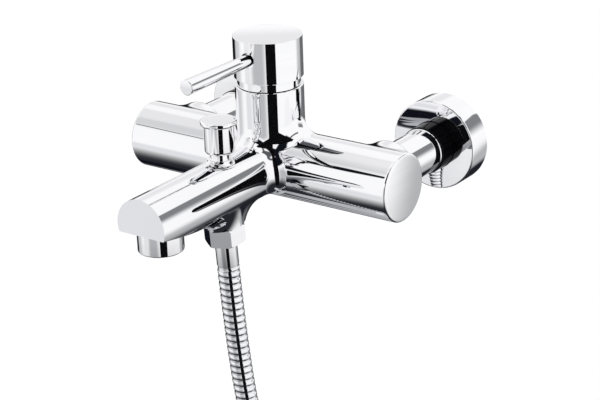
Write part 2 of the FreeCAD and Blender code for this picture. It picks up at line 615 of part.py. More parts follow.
def diverter_knob():
    """The pull knob, with a thin flange on top and a cavity that slides over the gland."""
    neck = KNOB_TOP - KNOB_FLANGE
    hole = DIVERTER_STEM_R + FIT_GAP / 2
    knob = turned([(hole, KNOB_CAVITY_TOP), (KNOB_CAVITY_R, KNOB_CAVITY_TOP), (KNOB_CAVITY_R, KNOB_BOTTOM),
                   (KNOB_R - KNOB_ROUNDING, KNOB_BOTTOM),
                   (KNOB_R, KNOB_BOTTOM + KNOB_ROUNDING), (KNOB_R, neck),
                   (KNOB_FLANGE_R, neck), (KNOB_FLANGE_R, KNOB_TOP), (0, KNOB_TOP), (0, DIVERTER_STEM_TOP),
                   (hole, DIVERTER_STEM_TOP)], DIVERTER_POINT)
    return knob


def diverter_stem():
    """The rod that joins the knob to the valve."""
    return disc(DIVERTER_STEM_R, VALVE_STACK_LOW, DIVERTER_STEM_TOP, DIVERTER_POINT)


def diverter_gland():
    """The fixed guide bush, screwed into the spout."""
    bore = DIVERTER_STEM_R + RUN_GAP / 2
    return turned([(bore, GLAND_BOTTOM), (GLAND_R, GLAND_BOTTOM), (GLAND_R, GLAND_TOP), (bore, GLAND_TOP),
                   (bore, GLAND_GROOVE_HIGH), (GLAND_GROOVE_R, GLAND_GROOVE_HIGH),
                   (GLAND_GROOVE_R, GLAND_GROOVE_LOW), (bore, GLAND_GROOVE_LOW)], DIVERTER_POINT)


def gland_seals():
    """Two O-rings that seal the sliding stem."""
    seals = []
    for step in (0.25, 0.75):
        height = GLAND_GROOVE_LOW + step * (GLAND_GROOVE_HIGH - GLAND_GROOVE_LOW)
        seals.append(Part.makeTorus(GLAND_RING_R, GLAND_RING_WIRE_R, V(0, -DIVERTER_Y, height), V(0, 0, 1)))
    return Part.makeCompound(seals)


def diverter_valve():
    """The brass disc that the seals sit on."""
    return ring(VALVE_R, DIVERTER_STEM_R, VALVE_LOW, VALVE_HIGH, DIVERTER_POINT)


def diverter_seals():
    """The two rubber faces of the valve."""
    lower = ring(VALVE_SEAL_R, DIVERTER_STEM_R, VALVE_STACK_LOW, VALVE_LOW, DIVERTER_POINT)
    upper = ring(VALVE_SEAL_R, DIVERTER_STEM_R, VALVE_HIGH, VALVE_STACK_HIGH, DIVERTER_POINT)
    return Part.makeCompound([lower, upper])


def diverter_spring():
    """The coil spring that returns the valve when the water stops."""
    low = VALVE_STACK_HIGH + SPRING_GAP + SPRING_WIRE_R
    high = GLAND_BOTTOM - SPRING_GAP - SPRING_WIRE_R
    helix = Part.makeHelix((high - low) / SPRING_TURNS, high - low, SPRING_R)
    wire = Part.Wire(Part.Circle(V(SPRING_R, 0, 0), V(0, 1, 0), SPRING_WIRE_R).toShape())
    spring = Part.Wire(helix).makePipeShell([wire], True, True)
    spring.translate(V(0, -DIVERTER_Y, low))
    return spring


# ---------------------------------------------------------------- aerator
AERATOR_POINT = V(0, -AERATOR_Y, 0)


def aerator_housing():
    """The chromed sleeve under the tip of the spout."""
    shelf = SPOUT_UNDER - SEAT_GAP
    top = SPOUT_UNDER + AERATOR_THREAD
    lip_top = AERATOR_BOTTOM + AERATOR_LIP
    return turned([(AERATOR_LIP_R, AERATOR_BOTTOM), (AERATOR_R - 0.5, AERATOR_BOTTOM),
                   (AERATOR_R, AERATOR_BOTTOM + 0.5), (AERATOR_R, shelf), (AERATOR_THREAD_R, shelf),
                   (AERATOR_THREAD_R, top), (AERATOR_BORE_R, top), (AERATOR_BORE_R, lip_top),
                   (AERATOR_LIP_R, lip_top)], AERATOR_POINT)


def aerator_insert():
    """The plastic flow straightener, drilled with rows of small holes."""
    low = AERATOR_BOTTOM + AERATOR_LIP
    high = SPOUT_UNDER - AERATOR_SCREEN
    body = disc(AERATOR_BORE_R - RUN_GAP, low, high, AERATOR_POINT)
    holes = []
    for row in range(-2, 3):
        for column in range(-2, 3):
            x = AERATOR_HOLE_PITCH * (column + row / 2)
            y = AERATOR_HOLE_PITCH * row * math.sqrt(3) / 2
            if math.hypot(x, y) + AERATOR_HOLE_R < AERATOR_LIP_R:
                holes.append(disc(AERATOR_HOLE_R, low - 1, high + 1, AERATOR_POINT + V(x, y, 0)))
    return body.cut(Part.makeCompound(holes))


def aerator_screen():
    """The fine mesh on top of the insert, as a thin disc."""
    return disc(AERATOR_BORE_R - RUN_GAP, SPOUT_UNDER - AERATOR_SCREEN, SPOUT_UNDER, AERATOR_POINT)


def aerator_washer():
    """The rubber washer between the sleeve and the spout."""
    low = SPOUT_UNDER + AERATOR_THREAD
    return ring(AERATOR_THREAD_R - 0.1, AERATOR_WASHER_INNER_R, low, low + AERATOR_WASHER, AERATOR_POINT)


# ---------------------------------------------------------------- shower outlet
def outlet_nipple():
    """The threaded nipple that the hose nut screws onto."""
    return turned([(NIPPLE_BORE_R, -NIPPLE_UPPER + SEAT_GAP), (NIPPLE_UPPER_R, -NIPPLE_UPPER + SEAT_GAP),
                   (NIPPLE_UPPER_R, 0), (WALL_THREAD_R, 0), (WALL_THREAD_R, NIPPLE_LOWER),
                   (NIPPLE_BORE_R, NIPPLE_LOWER)], OUTLET_POINT, OUTLET_DIR)


def check_valve():
    """The plastic non-return valve inside the nipple."""
    half = CHECK_VALVE_LENGTH / 2
    body = disc(CHECK_VALVE_R, -half - 2, half - 2, OUTLET_POINT, OUTLET_DIR)
    around = body.cut(ring(CHECK_VALVE_R - 1.2, 1.5, -half - 3, -half, OUTLET_POINT, OUTLET_DIR))
    return around.cut(ring(CHECK_VALVE_R - 1.2, 1.5, half - 4, half, OUTLET_POINT, OUTLET_DIR))


def hose_nut():
    """The hexagon nut of the hose, with its corners taken off at both ends."""
    corner_r = HOSE_NUT_FLATS / 2 / math.cos(math.radians(30))
    corners = [V(corner_r * math.cos(math.radians(HOSE_NUT_TURN + 60 * k)),
                 corner_r * math.sin(math.radians(HOSE_NUT_TURN + 60 * k)), HOSE_NUT_START) for k in range(7)]
    hexagon = Part.Face(Part.makePolygon(corners)).extrude(V(0, 0, HOSE_NUT_LENGTH))
    end = FERRULE_START
    slope = corner_r - HOSE_NUT_CHAMFER_R
    limit = turned([(0, HOSE_NUT_START), (HOSE_NUT_CHAMFER_R, HOSE_NUT_START),
                    (corner_r, HOSE_NUT_START + slope), (corner_r, end - slope),
                    (HOSE_NUT_CHAMFER_R, end), (0, end)])
    nut = hexagon.common(limit)
    nut = nut.cut(disc(WALL_THREAD_R + FIT_GAP, HOSE_NUT_START - 1, end - HOSE_NUT_WALL))
    nut = nut.cut(disc(HOSE_BORE_R + 0.2, HOSE_NUT_START, end + 1))
    nut.Placement = FreeCAD.Placement(OUTLET_POINT, FreeCAD.Rotation(V(0, 0, 1), OUTLET_DIR))
    return nut


def hose_washer():
    """The rubber washer inside the hose nut."""
    return ring(INSERT_FLANGE_R, HOSE_BORE_R, NIPPLE_LOWER, INSERT_START, OUTLET_POINT, OUTLET_DIR)


def hose_insert():
    """The flanged brass spigot that the nut turns on and the hose is crimped to."""
    flange_end = FERRULE_START - HOSE_NUT_WALL
    return turned([(3.5, INSERT_START), (INSERT_FLANGE_R, INSERT_START), (INSERT_FLANGE_R, flange_end),
                   (HOSE_BORE_R, flange_end), (HOSE_BORE_R, HOSE_START - 1), (3.5, HOSE_START - 1)],
                  OUTLET_POINT, OUTLET_DIR)


def hose_ferrule():
    """The crimped sleeve above the hose."""
    bore = HOSE_BORE_R + FIT_GAP
    return turned([(bore, FERRULE_START), (FERRULE_R, FERRULE_START), (FERRULE_R, HOSE_START),
                   (0, HOSE_START),
                   (0, HOSE_START - 0.9), (bore, HOSE_START - 0.9)], OUTLET_POINT, OUTLET_DIR)


# ---------------------------------------------------------------- shower hose
def lead_route():
    """Corner points of the hose from its ferrule to the right-hand side of the coil."""
    point = OUTLET_POINT + OUTLET_DIR * HOSE_START
    route = [point]
    for index, (run, heading) in enumerate(zip(LEAD_RUNS, LEAD_HEADINGS)):
        angle = math.radians(heading)
        step = V(math.sin(angle), 0, -math.cos(angle)) * run
        if index == 0:
            step = OUTLET_DIR * run
        point = point + step
        route.append(point)
    return route


def tube_along(route, radius, name):
    """A solid round tube along straight runs joined by tangent arcs."""
    edges = []
    start = route[0]
    length = 0.0
    radii = []
    for before, corner, after in zip(route, route[1:], route[2:]):
        back = (before - corner).normalize()
        ahead = (after - corner).normalize()
        turn = math.pi - back.getAngle(ahead)
        bend = 0.45 * min((before - corner).Length, (after - corner).Length) / math.tan(turn / 2)
        reach = bend * math.tan(turn / 2)
        entry = corner + back * reach
        leave = corner + ahead * reach
        inward = (back + ahead).normalize()
        middle = corner + inward * (bend / math.cos(turn / 2) - bend)
        edges.append(Part.LineSegment(start, entry).toShape())
        edges.append(Part.Arc(entry, middle, leave).toShape())
        length += (entry - start).Length + bend * turn
        radii.append(round(bend, 1))
        start = leave
    edges.append(Part.LineSegment(start, route[-1]).toShape())
    length += (route[-1] - start).Length
    section = Part.Wire(Part.Circle(route[0], route[1] - route[0], radius).toShape())
    tube = Part.Wire(edges).makePipeShell([section], True, False)
    ratio = tube.Volume / (math.pi * radius * radius * length)
    print(name, "radii", radii, "length", round(length, 1), "volume ratio", round(ratio, 4))
    return tube, length


LEAD = lead_route()
COIL_START = LEAD[-1]
COIL_CENTRE = V(COIL_START.x - COIL_R, 0, COIL_START.z)
COIL_FRONT = COIL_START.y - HOSE_R
COIL_BACK = COIL_START.y + COIL_TURNS * COIL_PITCH + HOSE_R
TAIL_TOP = V(COIL_START.x, COIL_START.y + COIL_TURNS * COIL_PITCH, COIL_START.z)
TAIL_END = TAIL_TOP - V(0, 0, TAIL_LENGTH)
DOWN = V(0, 0, -1)


def coil_section(grow):
    """The closed ring round all the turns, made larger all round by grow."""
    return ring(COIL_R + HOSE_R + grow, COIL_R - HOSE_R - grow, COIL_FRONT - grow, COIL_BACK + grow,
                COIL_CENTRE, V(0, 1, 0))


def hose_ties():
    """Two straps that hold the turns together."""
    ties = []
    sleeve = coil_section(TIE).cut(coil_section(0))
    reach = 2 * COIL_R
    for angle in TIE_ANGLES:
        half = math.radians(TIE_SPAN / 2)
        mid = math.radians(angle)
        corners = [COIL_CENTRE]
        for edge in (mid - half, mid + half):
            corners.append(COIL_CENTRE + V(reach * math.cos(edge), 0, reach * math.sin(edge)))
        corners = [corner + V(0, COIL_FRONT - 2 * TIE, 0) for corner in corners]
        wedge = Part.Face(Part.makePolygon(corners + corners[:1]))
        ties.append(sleeve.common(wedge.extrude(V(0, COIL_BACK - COIL_FRONT + 4 * TIE, 0))))
    return Part.makeCompound(ties)


def hose_tail():
    """The short straight length that hangs out of the coil."""
    return rod(HOSE_R, TAIL_TOP, TAIL_END)


def end_ferrule():
    """The flanged sleeve at the handset end."""
    shank = END_FERRULE - END_FLANGE
    return turned([(3.5, 1), (3.5, END_FERRULE), (END_FLANGE_R, END_FERRULE), (END_FLANGE_R, shank),
                   (FERRULE_R, shank), (FERRULE_R, 0), (0, 0), (0, 1)], TAIL_END, DOWN)


def handset_nut():
    """The cone nut for the hand shower, free to turn on its ferrule."""
    seat = END_FERRULE - END_FLANGE - SEAT_GAP
    top = seat - HANDSET_NUT_NECK
    cone_end = top + HANDSET_NUT_CONE
    bottom = cone_end + HANDSET_NUT_SKIRT
    bore = FERRULE_R + RUN_GAP
    thread = WALL_THREAD_R + RUN_GAP
    pocket = END_FLANGE_R + RUN_GAP
    pocket_end = END_FERRULE + HOSE_WASHER
    return turned([(bore, top), (HANDSET_NUT_TOP_R, top), (HANDSET_NUT_SHOULDER_R, seat),
                   (HANDSET_NUT_R, cone_end), (HANDSET_NUT_R, bottom),
                   (thread, bottom), (thread, pocket_end), (pocket, pocket_end), (pocket, seat),
                   (bore, seat)], TAIL_END, DOWN)


def handset_washer():
    """The rubber washer against the flange of the ferrule."""
    return ring(END_FLANGE_R, 5.0, END_FERRULE, END_FERRULE + HOSE_WASHER, TAIL_END, DOWN)


# ---------------------------------------------------------------- write every sub-part
def main():
    """Build and save all sub-parts."""
    os.makedirs("parts", exist_ok=True)
    save(valve_body(), "valve_body")
    for side, word in ((-1, "left"), (1, "right")):
        save(end_cap(side), word + "_end_cap")
        save(end_cap_seal(side), word + "_end_cap_seal")
        save(union_nut(side), word + "_union_nut")
        save(union_tail(side), word + "_union_tail")
        save(inlet_washer(side), word + "_inlet_washer")
        save(eccentric_union(side), word + "_eccentric_union")
        save(escutcheon(side), word + "_escutcheon")
        save(grip_ring(side), word + "_grip_ring")
    base_seal = cartridge_plate(CARTRIDGE_R - 0.4, CARTRIDGE_FLOOR, CARTRIDGE_FLOOR + BASE_SEAL)
    save(base_seal, "cartridge_base_seal")
    save(cartridge_plate(CARTRIDGE_R, CARTRIDGE_FLOOR + BASE_SEAL, DISC_LOW), "cartridge_base")
    save(cartridge_plate(FIXED_DISC_R, DISC_LOW, MOVING_LOW), "fixed_ceramic_disc")
    save(cartridge_housing(), "cartridge_housing")
    save(moving_disc(), "moving_ceramic_disc")
    save(disc_carrier(), "disc_carrier")
    save(stem_guide(), "stem_guide")
    save(pivot_pin(), "pivot_pin")
    save(cartridge_stem(), "cartridge_stem")
    save(cartridge_nut(), "cartridge_nut")
    save(collar_ring(), "collar_ring")
    save(handle_cap(), "handle_cap")
    save(lever_rod(), "lever_rod")
    save(handle_set_screw(), "handle_set_screw")
    save(screw_plug(), "screw_plug")
    save(diverter_knob(), "diverter_knob")
    save(diverter_stem(), "diverter_stem")
    save(diverter_gland(), "diverter_gland")
    save(gland_seals(), "gland_seals")
    save(diverter_valve(), "diverter_valve")
    save(diverter_seals(), "diverter_seals")
    save(diverter_spring(), "diverter_spring")
    save(aerator_housing(), "aerator_housing")
    save(aerator_insert(), "aerator_insert")
    save(aerator_screen(), "aerator_screen")
    save(aerator_washer(), "aerator_washer")
    save(outlet_nipple(), "outlet_nipple")
    save(check_valve(), "check_valve")
    save(hose_nut(), "hose_nut")
    save(hose_washer(), "hose_washer")
    save(hose_insert(), "hose_insert")
    save(hose_ferrule(), "hose_ferrule")
    lead, lead_length = tube_along(LEAD, HOSE_R, "hose_lead")
    save(lead, "hose_lead")
    save(coil_section(0), "hose_coil")
    save(hose_ties(), "hose_ties")
    save(hose_tail(), "hose_tail")
    save(end_ferrule(), "end_ferrule")
    save(handset_nut(), "handset_nut")
    save(handset_washer(), "handset_washer")
    turn = math.hypot(2 * math.pi * COIL_R, COIL_PITCH)
    nuts = HOSE_START + END_FERRULE - HOSE_NUT_START
    print("hose", round(lead_length + COIL_TURNS * turn + TAIL_LENGTH + nuts, 1), "of", HOSE_LENGTH)


main()
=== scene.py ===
"""A chromed wall mixer for bath and shower with its metal hose: pieces, finishes, light and camera."""
import json
import logging
import math
from dataclasses import dataclass
from enum import Enum
from typing import Any, Callable, Sequence

import bmesh
import bpy
import numpy as np
from mathutils import Matrix, Vector


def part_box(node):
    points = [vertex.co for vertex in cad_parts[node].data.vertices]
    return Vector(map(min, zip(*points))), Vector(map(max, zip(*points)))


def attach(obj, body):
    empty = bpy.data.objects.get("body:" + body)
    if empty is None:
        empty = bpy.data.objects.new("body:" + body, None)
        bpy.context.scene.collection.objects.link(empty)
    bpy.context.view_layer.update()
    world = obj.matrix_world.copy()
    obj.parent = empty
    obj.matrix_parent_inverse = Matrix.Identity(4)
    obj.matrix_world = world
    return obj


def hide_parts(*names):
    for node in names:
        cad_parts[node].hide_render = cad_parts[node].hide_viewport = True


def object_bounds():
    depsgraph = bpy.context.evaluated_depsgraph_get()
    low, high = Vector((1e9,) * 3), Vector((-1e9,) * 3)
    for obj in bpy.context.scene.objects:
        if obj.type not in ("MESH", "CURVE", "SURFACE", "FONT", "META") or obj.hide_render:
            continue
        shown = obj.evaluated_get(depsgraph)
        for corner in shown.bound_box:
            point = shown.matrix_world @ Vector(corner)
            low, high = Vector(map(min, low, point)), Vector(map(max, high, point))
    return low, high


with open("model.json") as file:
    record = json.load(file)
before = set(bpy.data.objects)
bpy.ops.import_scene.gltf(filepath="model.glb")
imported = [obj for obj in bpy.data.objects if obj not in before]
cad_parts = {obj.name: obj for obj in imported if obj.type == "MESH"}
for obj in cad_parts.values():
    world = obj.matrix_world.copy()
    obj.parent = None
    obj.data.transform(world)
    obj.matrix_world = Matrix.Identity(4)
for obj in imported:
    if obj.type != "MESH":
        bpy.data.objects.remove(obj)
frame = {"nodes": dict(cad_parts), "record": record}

CAD_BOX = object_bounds()
LOG = logging.getLogger("mixer")
MM = 0.001
UP = Vector((0.0, 0.0, 1.0))
TO_ROOM = Vector((0.0, -1.0, 0.0))
Triple = tuple[float, float, float]
Profile = Sequence[tuple[float, float]]
TURNED_STRETCH = 12
CLOUD_SHARE = 0.12
CLOUD_SPAN = (0.35, 0.65)
ROUND_TOLERANCE = 0.05 * MM
ROUND_LEAN = 0.98
FLAT_TOLERANCE = 0.01 * MM
FLAT_LEAN = 0.999


# ---------------------------------------------------------------- shader graphs
class Shade:
    """One output socket; arithmetic on it adds Math nodes."""

    def __init__(self, graph: "Graph", socket: bpy.types.NodeSocket) -> None:
        """Remember the socket and the graph it belongs to."""
        self.graph = graph
        self.socket = socket

    def __getitem__(self, output: str | int) -> "Shade":
        """Another output of the same node."""
        return Shade(self.graph, self.socket.node.outputs[output])

    def math(self, operation: str, *values: "Shade | float") -> "Shade":
        """Add one Math node.

        Args:
            operation: the Math node's operation.
            values: its inputs in order.

        Returns:
            The node's value.
        """
        return self.graph.node("ShaderNodeMath", {"operation": operation}, dict(enumerate(values)))

    def __add__(self, other: "Shade | float") -> "Shade":
        """Sum."""
        return self.math("ADD", self, other)

    def __sub__(self, other: "Shade | float") -> "Shade":
        """Difference."""
        return self.math("SUBTRACT", self, other)

    def __rsub__(self, other: float) -> "Shade":
        """Difference from a number."""
        return self.math("SUBTRACT", other, self)

    def __mul__(self, other: "Shade | float") -> "Shade":
        """Product."""
        return self.math("MULTIPLY", self, other)

    def __abs__(self) -> "Shade":
        """Size without sign."""
        return self.math("ABSOLUTE", self)

    def ramp(self, start: float, end: float) -> "Shade":
        """A smooth step from 0 at start to 1 at end."""
        settings = {"interpolation_type": "SMOOTHSTEP"}
        return self.graph.node("ShaderNodeMapRange", settings, {0: self, 1: start, 2: end})


class Graph:
    """Builds the nodes of one material or of the world."""

    def __init__(self, tree: bpy.types.NodeTree) -> None:
        """Start from an empty node tree."""
        self.tree = tree
        tree.nodes.clear()

    def node(self, kind: str, settings: dict[str, Any] | None = None,
             inputs: dict[str | int, Any] | None = None) -> Shade:
        """Add one node.

        Args:
            kind: the node's type.
            settings: its properties.
            inputs: numbers, colours or shades for its sockets.

        Returns:
            Its first output, or its input for an output node.
        """
        node = self.tree.nodes.new(kind)
        for key, value in (settings or {}).items():
            setattr(node, key, value)
        for key, value in (inputs or {}).items():
            if isinstance(value, Shade):
                self.tree.links.new(value.socket, node.inputs[key])
            else:
                node.inputs[key].default_value = value
        return Shade(self, node.outputs[0] if node.outputs else node.inputs[0])

    def mix(self, factor: Shade | float, first: Any, second: Any) -> Shade:
        """Mix two colours by a factor."""
        return self.node("ShaderNodeMix", {"data_type": "RGBA"}, {0: factor, 6: first, 7: second})[2]


def matt(name: str, grey: Sequence[float], shine: float) -> bpy.types.Material:
    """A plain matt material for the studio.

    Args:
        name: the material's name.
        grey: its colour.
        shine: how strongly it mirrors, 0.5 as usual.

    Returns:
        The material.
    """
    made = bpy.data.materials.new(name)
    made.use_nodes = True
    graph = Graph(made.node_tree)
    shader = graph.node("ShaderNodeBsdfPrincipled", None,
                        {"Base Color": (*grey, 1.0), "Roughness": 0.9, "Specular IOR Level": shine})
    graph.node("ShaderNodeOutputMaterial", None, {"Surface": shader})
    return made


# ---------------------------------------------------------------- finishes
class Pattern(Enum):
    """What breaks up a finish."""

    POLISHED = "polished"
    TURNED = "turned"
    MOULDED = "moulded"


@dataclass(frozen=True)
class Finish:
    """One surface finish, varied over the surface by noise."""

    name: str
    light: Triple
    dark: Triple
    metallic: float
    roughness: float
    roughness_spread: float
    grain: float
    relief: float
    pattern: Pattern
    shine: float = 0.5

    def material(self) -> bpy.types.Material:
        """Build the node material.

        Returns:
            A new material named for the finish.
        """
        made = bpy.data.materials.new(self.name)
        made.use_nodes = True
        graph = Graph(made.node_tree)
        place = graph.node("ShaderNodeTexCoord")["Object"]
        stretch = (1, 1, TURNED_STRETCH if self.pattern is Pattern.TURNED else 1)
        place = graph.node("ShaderNodeMapping", None, {"Vector": place, "Scale": stretch})
        grain = graph.node("ShaderNodeTexNoise", None,
                           {"Vector": place, "Scale": 1 / self.grain, "Detail": 4.0, "Roughness": 0.6})
        cloud = graph.node("ShaderNodeTexNoise", None,
                           {"Vector": place, "Scale": CLOUD_SHARE / self.grain, "Detail": 2.0})
        worn = grain * 0.5 + cloud * 0.5
        roughness = (worn - 0.5) * (2 * self.roughness_spread) + self.roughness
        colour = graph.mix(cloud.ramp(*CLOUD_SPAN), (*self.dark, 1), (*self.light, 1))
        sockets = {"Base Color": colour, "Metallic": self.metallic, "Roughness": roughness,
                   "Specular IOR Level": self.shine}
        if self.relief:
            sockets["Normal"] = graph.node("ShaderNodeBump", None,
                                           {"Height": grain, "Strength": 0.5, "Distance": self.relief})
        shader = graph.node("ShaderNodeBsdfPrincipled", None, sockets)
        graph.node("ShaderNodeOutputMaterial", None, {"Surface": shader})
        return made


FINISHES: dict[str, Finish] = {
    "chrome_body": Finish("cast_chrome", (0.93, 0.93, 0.945), (0.91, 0.91, 0.93), 1.0, 0.012, 0.006,
                          9 * MM, 0.0, Pattern.POLISHED),
    "chrome_trim": Finish("turned_chrome", (0.94, 0.94, 0.95), (0.92, 0.92, 0.935), 1.0, 0.015, 0.007,
                          5 * MM, 0.0, Pattern.TURNED),
    "black_nut": Finish("black_nut_finish", (0.0030, 0.0030, 0.0035), (0.0015, 0.0015, 0.0020), 0.0, 0.13,
                        0.04, 2 * MM, 0.0, Pattern.TURNED, 0.06),
    "brass": Finish("raw_brass", (0.80, 0.58, 0.28), (0.68, 0.47, 0.21), 1.0, 0.28, 0.08,
                    2 * MM, 0.00002, Pattern.TURNED),
    "rubber": Finish("seal_rubber", (0.030, 0.030, 0.032), (0.018, 0.018, 0.019), 0.0, 0.62, 0.10,
                     1.5 * MM, 0.00003, Pattern.MOULDED),
    "white_plastic": Finish("cartridge_plastic", (0.86, 0.86, 0.84), (0.80, 0.80, 0.78), 0.0, 0.38, 0.08,
                            2 * MM, 0.00002, Pattern.MOULDED),
    "grey_plastic": Finish("plug_plastic", (0.42, 0.43, 0.45), (0.36, 0.37, 0.39), 0.0, 0.35, 0.08,
                           1.5 * MM, 0.00002, Pattern.MOULDED),
    "ceramic": Finish("disc_ceramic", (0.93, 0.92, 0.88), (0.89, 0.88, 0.84), 0.0, 0.16, 0.04,
                      1.5 * MM, 0.0, Pattern.MOULDED),
    "steel": Finish("bright_steel", (0.66, 0.66, 0.67), (0.58, 0.58, 0.60), 1.0, 0.24, 0.06,
                    1.5 * MM, 0.00001, Pattern.TURNED),
    "hose_metal": Finish("hose_chrome", (0.92, 0.92, 0.94), (0.86, 0.86, 0.89), 1.0, 0.05, 0.02,
                         3 * MM, 0.0, Pattern.POLISHED),
    "tie": Finish("tie_plastic", (0.78, 0.79, 0.80), (0.70, 0.71, 0.73), 0.0, 0.45, 0.08,
                  2 * MM, 0.00004, Pattern.MOULDED),
}
MADE: dict[str, bpy.types.Material] = {slot: finish.material() for slot, finish in FINISHES.items()}


# ---------------------------------------------------------------- modelling helpers
class Bench:
    """Modelling by operators: turning, cutting and finishing."""

    @staticmethod
    def clear() -> None:
        """Leave every object unselected."""
        bpy.ops.object.select_all(action="DESELECT")

    @staticmethod
    def take(piece: bpy.types.Object) -> None:
        """Select one object and make it active."""
        Bench.clear()
        piece.select_set(True)
        bpy.context.view_layer.objects.active = piece

    @staticmethod
    def apply() -> None:
        """Write the place, turn and scale of the selected objects into their meshes."""
        bpy.ops.object.transform_apply(location=True, rotation=True, scale=True)

    @staticmethod
    def turn(name: str, profile: Profile, base: Vector = Vector(), axis: Vector = UP,
             closed: bool = False, segments: int = 144) -> bpy.types.Object:
        """Turn a profile, ring by ring, by extruding and resizing.

        Args:
            name: the object's name.
            profile: pairs of radius and distance along the axis, in order round the section.
            base: where the axis starts.
            axis: the way the axis points.
            closed: True for a ring with a hole, whose profile comes back to its start.
            segments: sides of the circle.

        Returns:
            The turned object.
        """
        Bench.clear()
        radius, height = profile[0]
        bpy.ops.mesh.primitive_circle_add(vertices=segments, radius=radius, location=(0, 0, height),
                                          fill_type="NOTHING" if closed else "NGON")
        made = bpy.context.object
        made.name = name
        Bench.apply()
        bpy.ops.object.mode_set(mode="EDIT")
        bpy.ops.mesh.select_mode(type="VERT")
        bpy.ops.mesh.select_all(action="SELECT")
        for next_radius, next_height in list(profile[1:]) + ([profile[0]] if closed else []):
            move = {"value": (0.0, 0.0, next_height - height)}
            bpy.ops.mesh.extrude_region_move(TRANSFORM_OT_translate=move)
            share = next_radius / radius
            bpy.ops.transform.resize(value=(share, share, 1.0), center_override=(0.0, 0.0, next_height))
            radius, height = next_radius, next_height
        bpy.ops.mesh.select_all(action="SELECT")
        bpy.ops.mesh.remove_doubles(threshold=1e-7)
        bpy.ops.mesh.normals_make_consistent(inside=False)
        bpy.ops.object.mode_set(mode="OBJECT")
        Bench.put(made, base, axis)
        Bench.smooth(made)
        return made

    @staticmethod
    def put(piece: bpy.types.Object, base: Vector, axis: Vector) -> None:
        """Move a piece made round +Z to its place, in its mesh."""
        turn = UP.rotation_difference(axis).to_matrix().to_4x4()
        piece.data.transform(Matrix.Translation(base) @ turn)

    @staticmethod
    def smooth(piece: bpy.types.Object, angle: float = 32.0) -> None:
        """Smooth shading except across sharp edges."""
        Bench.take(piece)
        bpy.ops.object.shade_smooth_by_angle(angle=math.radians(angle))

    @staticmethod
    def combine(piece: bpy.types.Object, tool: bpy.types.Object, operation: str) -> None:
        """Cut or keep with another solid, then drop that solid.

        Args:
            piece: the object that stays.
            tool: the other solid.
            operation: the Boolean modifier's operation.
        """
        Bench.take(piece)
        cut = piece.modifiers.new("cut", "BOOLEAN")
        cut.operation = operation
        cut.object = tool
        cut.solver = "EXACT"
        bpy.ops.object.modifier_apply(modifier=cut.name)
        bpy.data.objects.remove(tool)
        Bench.smooth(piece)

    @staticmethod
    def true_round(piece: bpy.types.Object, base: Vector, axis: Vector, radius: float) -> None:
        """Give the faces of one cylinder their exact normals, which a cut would disturb.

        Args:
            piece: the object.
            base: a point of the cylinder's axis.
            axis: the way the axis points.
            radius: the cylinder's radius.
        """
        mesh = piece.data
        normals = [corner.vector.copy() for corner in mesh.corner_normals]
        for face in mesh.polygons:
            for loop in face.loop_indices:
                place = mesh.vertices[mesh.loops[loop].vertex_index].co - base
                out = place - axis * place.dot(axis)
                near = abs(out.length - radius) < ROUND_TOLERANCE
                if near and out.normalized().dot(face.normal) > ROUND_LEAN:
                    normals[loop] = out.normalized()
        mesh.normals_split_custom_set(normals)


def arc(centre: tuple[float, float], radius: float, start: float, end: float,
        steps: int = 6) -> list[tuple[float, float]]:
    """Points of a profile along an arc.

    Args:
        centre: radius and height of the arc's centre.
        radius: the arc's radius.
        start: first angle in degrees, 0 pointing away from the axis.
        end: last angle in degrees.
        steps: how many spans the arc has.

    Returns:
        The points, both ends included.
    """
    points = []
    for step in range(steps + 1):
        angle = math.radians(start + (end - start) * step / steps)
        points.append((centre[0] + radius * math.cos(angle), centre[1] + radius * math.sin(angle)))
    return points


@dataclass(frozen=True)
class Extent:
    """The box of a CAD node: where a new piece takes its place and size from."""

    low: Vector
    high: Vector

    @classmethod
    def of(cls, node: str) -> "Extent":
        """Read a node's box."""
        low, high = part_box(node)
        return cls(Vector(low), Vector(high))

    @property
    def centre(self) -> Vector:
        """The middle of the box."""
        return (self.low + self.high) / 2

    @property
    def size(self) -> Vector:
        """The box's lengths."""
        return self.high - self.low


def fit(piece: bpy.types.Object, slot: str, nodes: Sequence[str], body: str = "root") -> None:
    """Dress a finished piece, hang it on its body and hide the CAD nodes that it replaces.

    Args:
        piece: the new object.
        slot: the record's material slot that it takes its finish from.
        nodes: the CAD nodes that it replaces.
        body: the body that it rides on.
    """
    piece.data.materials.clear()
    piece.data.materials.append(MADE[slot])
    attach(piece, body)
    if nodes:
        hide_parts(*nodes)
    LOG.info("%s: %d faces, rides on %s", piece.name, len(getattr(piece.data, "polygons", [])), body)


# ---------------------------------------------------------------- casting
@dataclass
class Field:
    """A distance field sampled at points: how far outside a form they are, and which way is out."""

    value: np.ndarray
    out: np.ndarray

    def inside_out(self) -> "Field":
        """The same surface seen from its other side."""
        return Field(-self.value, -self.out)

    def meet(self, other: "Field", radius: float) -> "Field":
        """What both forms hold, with the edge between them rounded by a ball of the radius.

        Args:
            other: the second form.
            radius: the rounding.

        Returns:
            The rounded common form.
        """
        lean = np.clip(np.sum(self.out * other.out, axis=1), -0.97, 0.97)
        first, second = self.value + radius, other.value + radius
        share = (first - lean * second) / (1 - lean ** 2)
        other_share = (second - lean * first) / (1 - lean ** 2)
        toward = share[:, None] * self.out + other_share[:, None] * other.out
        length = np.linalg.norm(toward, axis=1) + 1e-12
        corner = (share > 0) & (other_share > 0)
        nearer = self.value > other.value
        value = np.where(corner, length - radius, np.where(nearer, self.value, other.value))
        side = np.where(nearer[:, None], self.out, other.out)
        out = np.where(corner[:, None], toward / length[:, None], side)
        return Field(value, out)

    def join(self, other: "Field", radius: float) -> "Field":
        """Both forms as one, with a fillet of the radius in the corner between them."""
        return self.inside_out().meet(other.inside_out(), radius).inside_out()


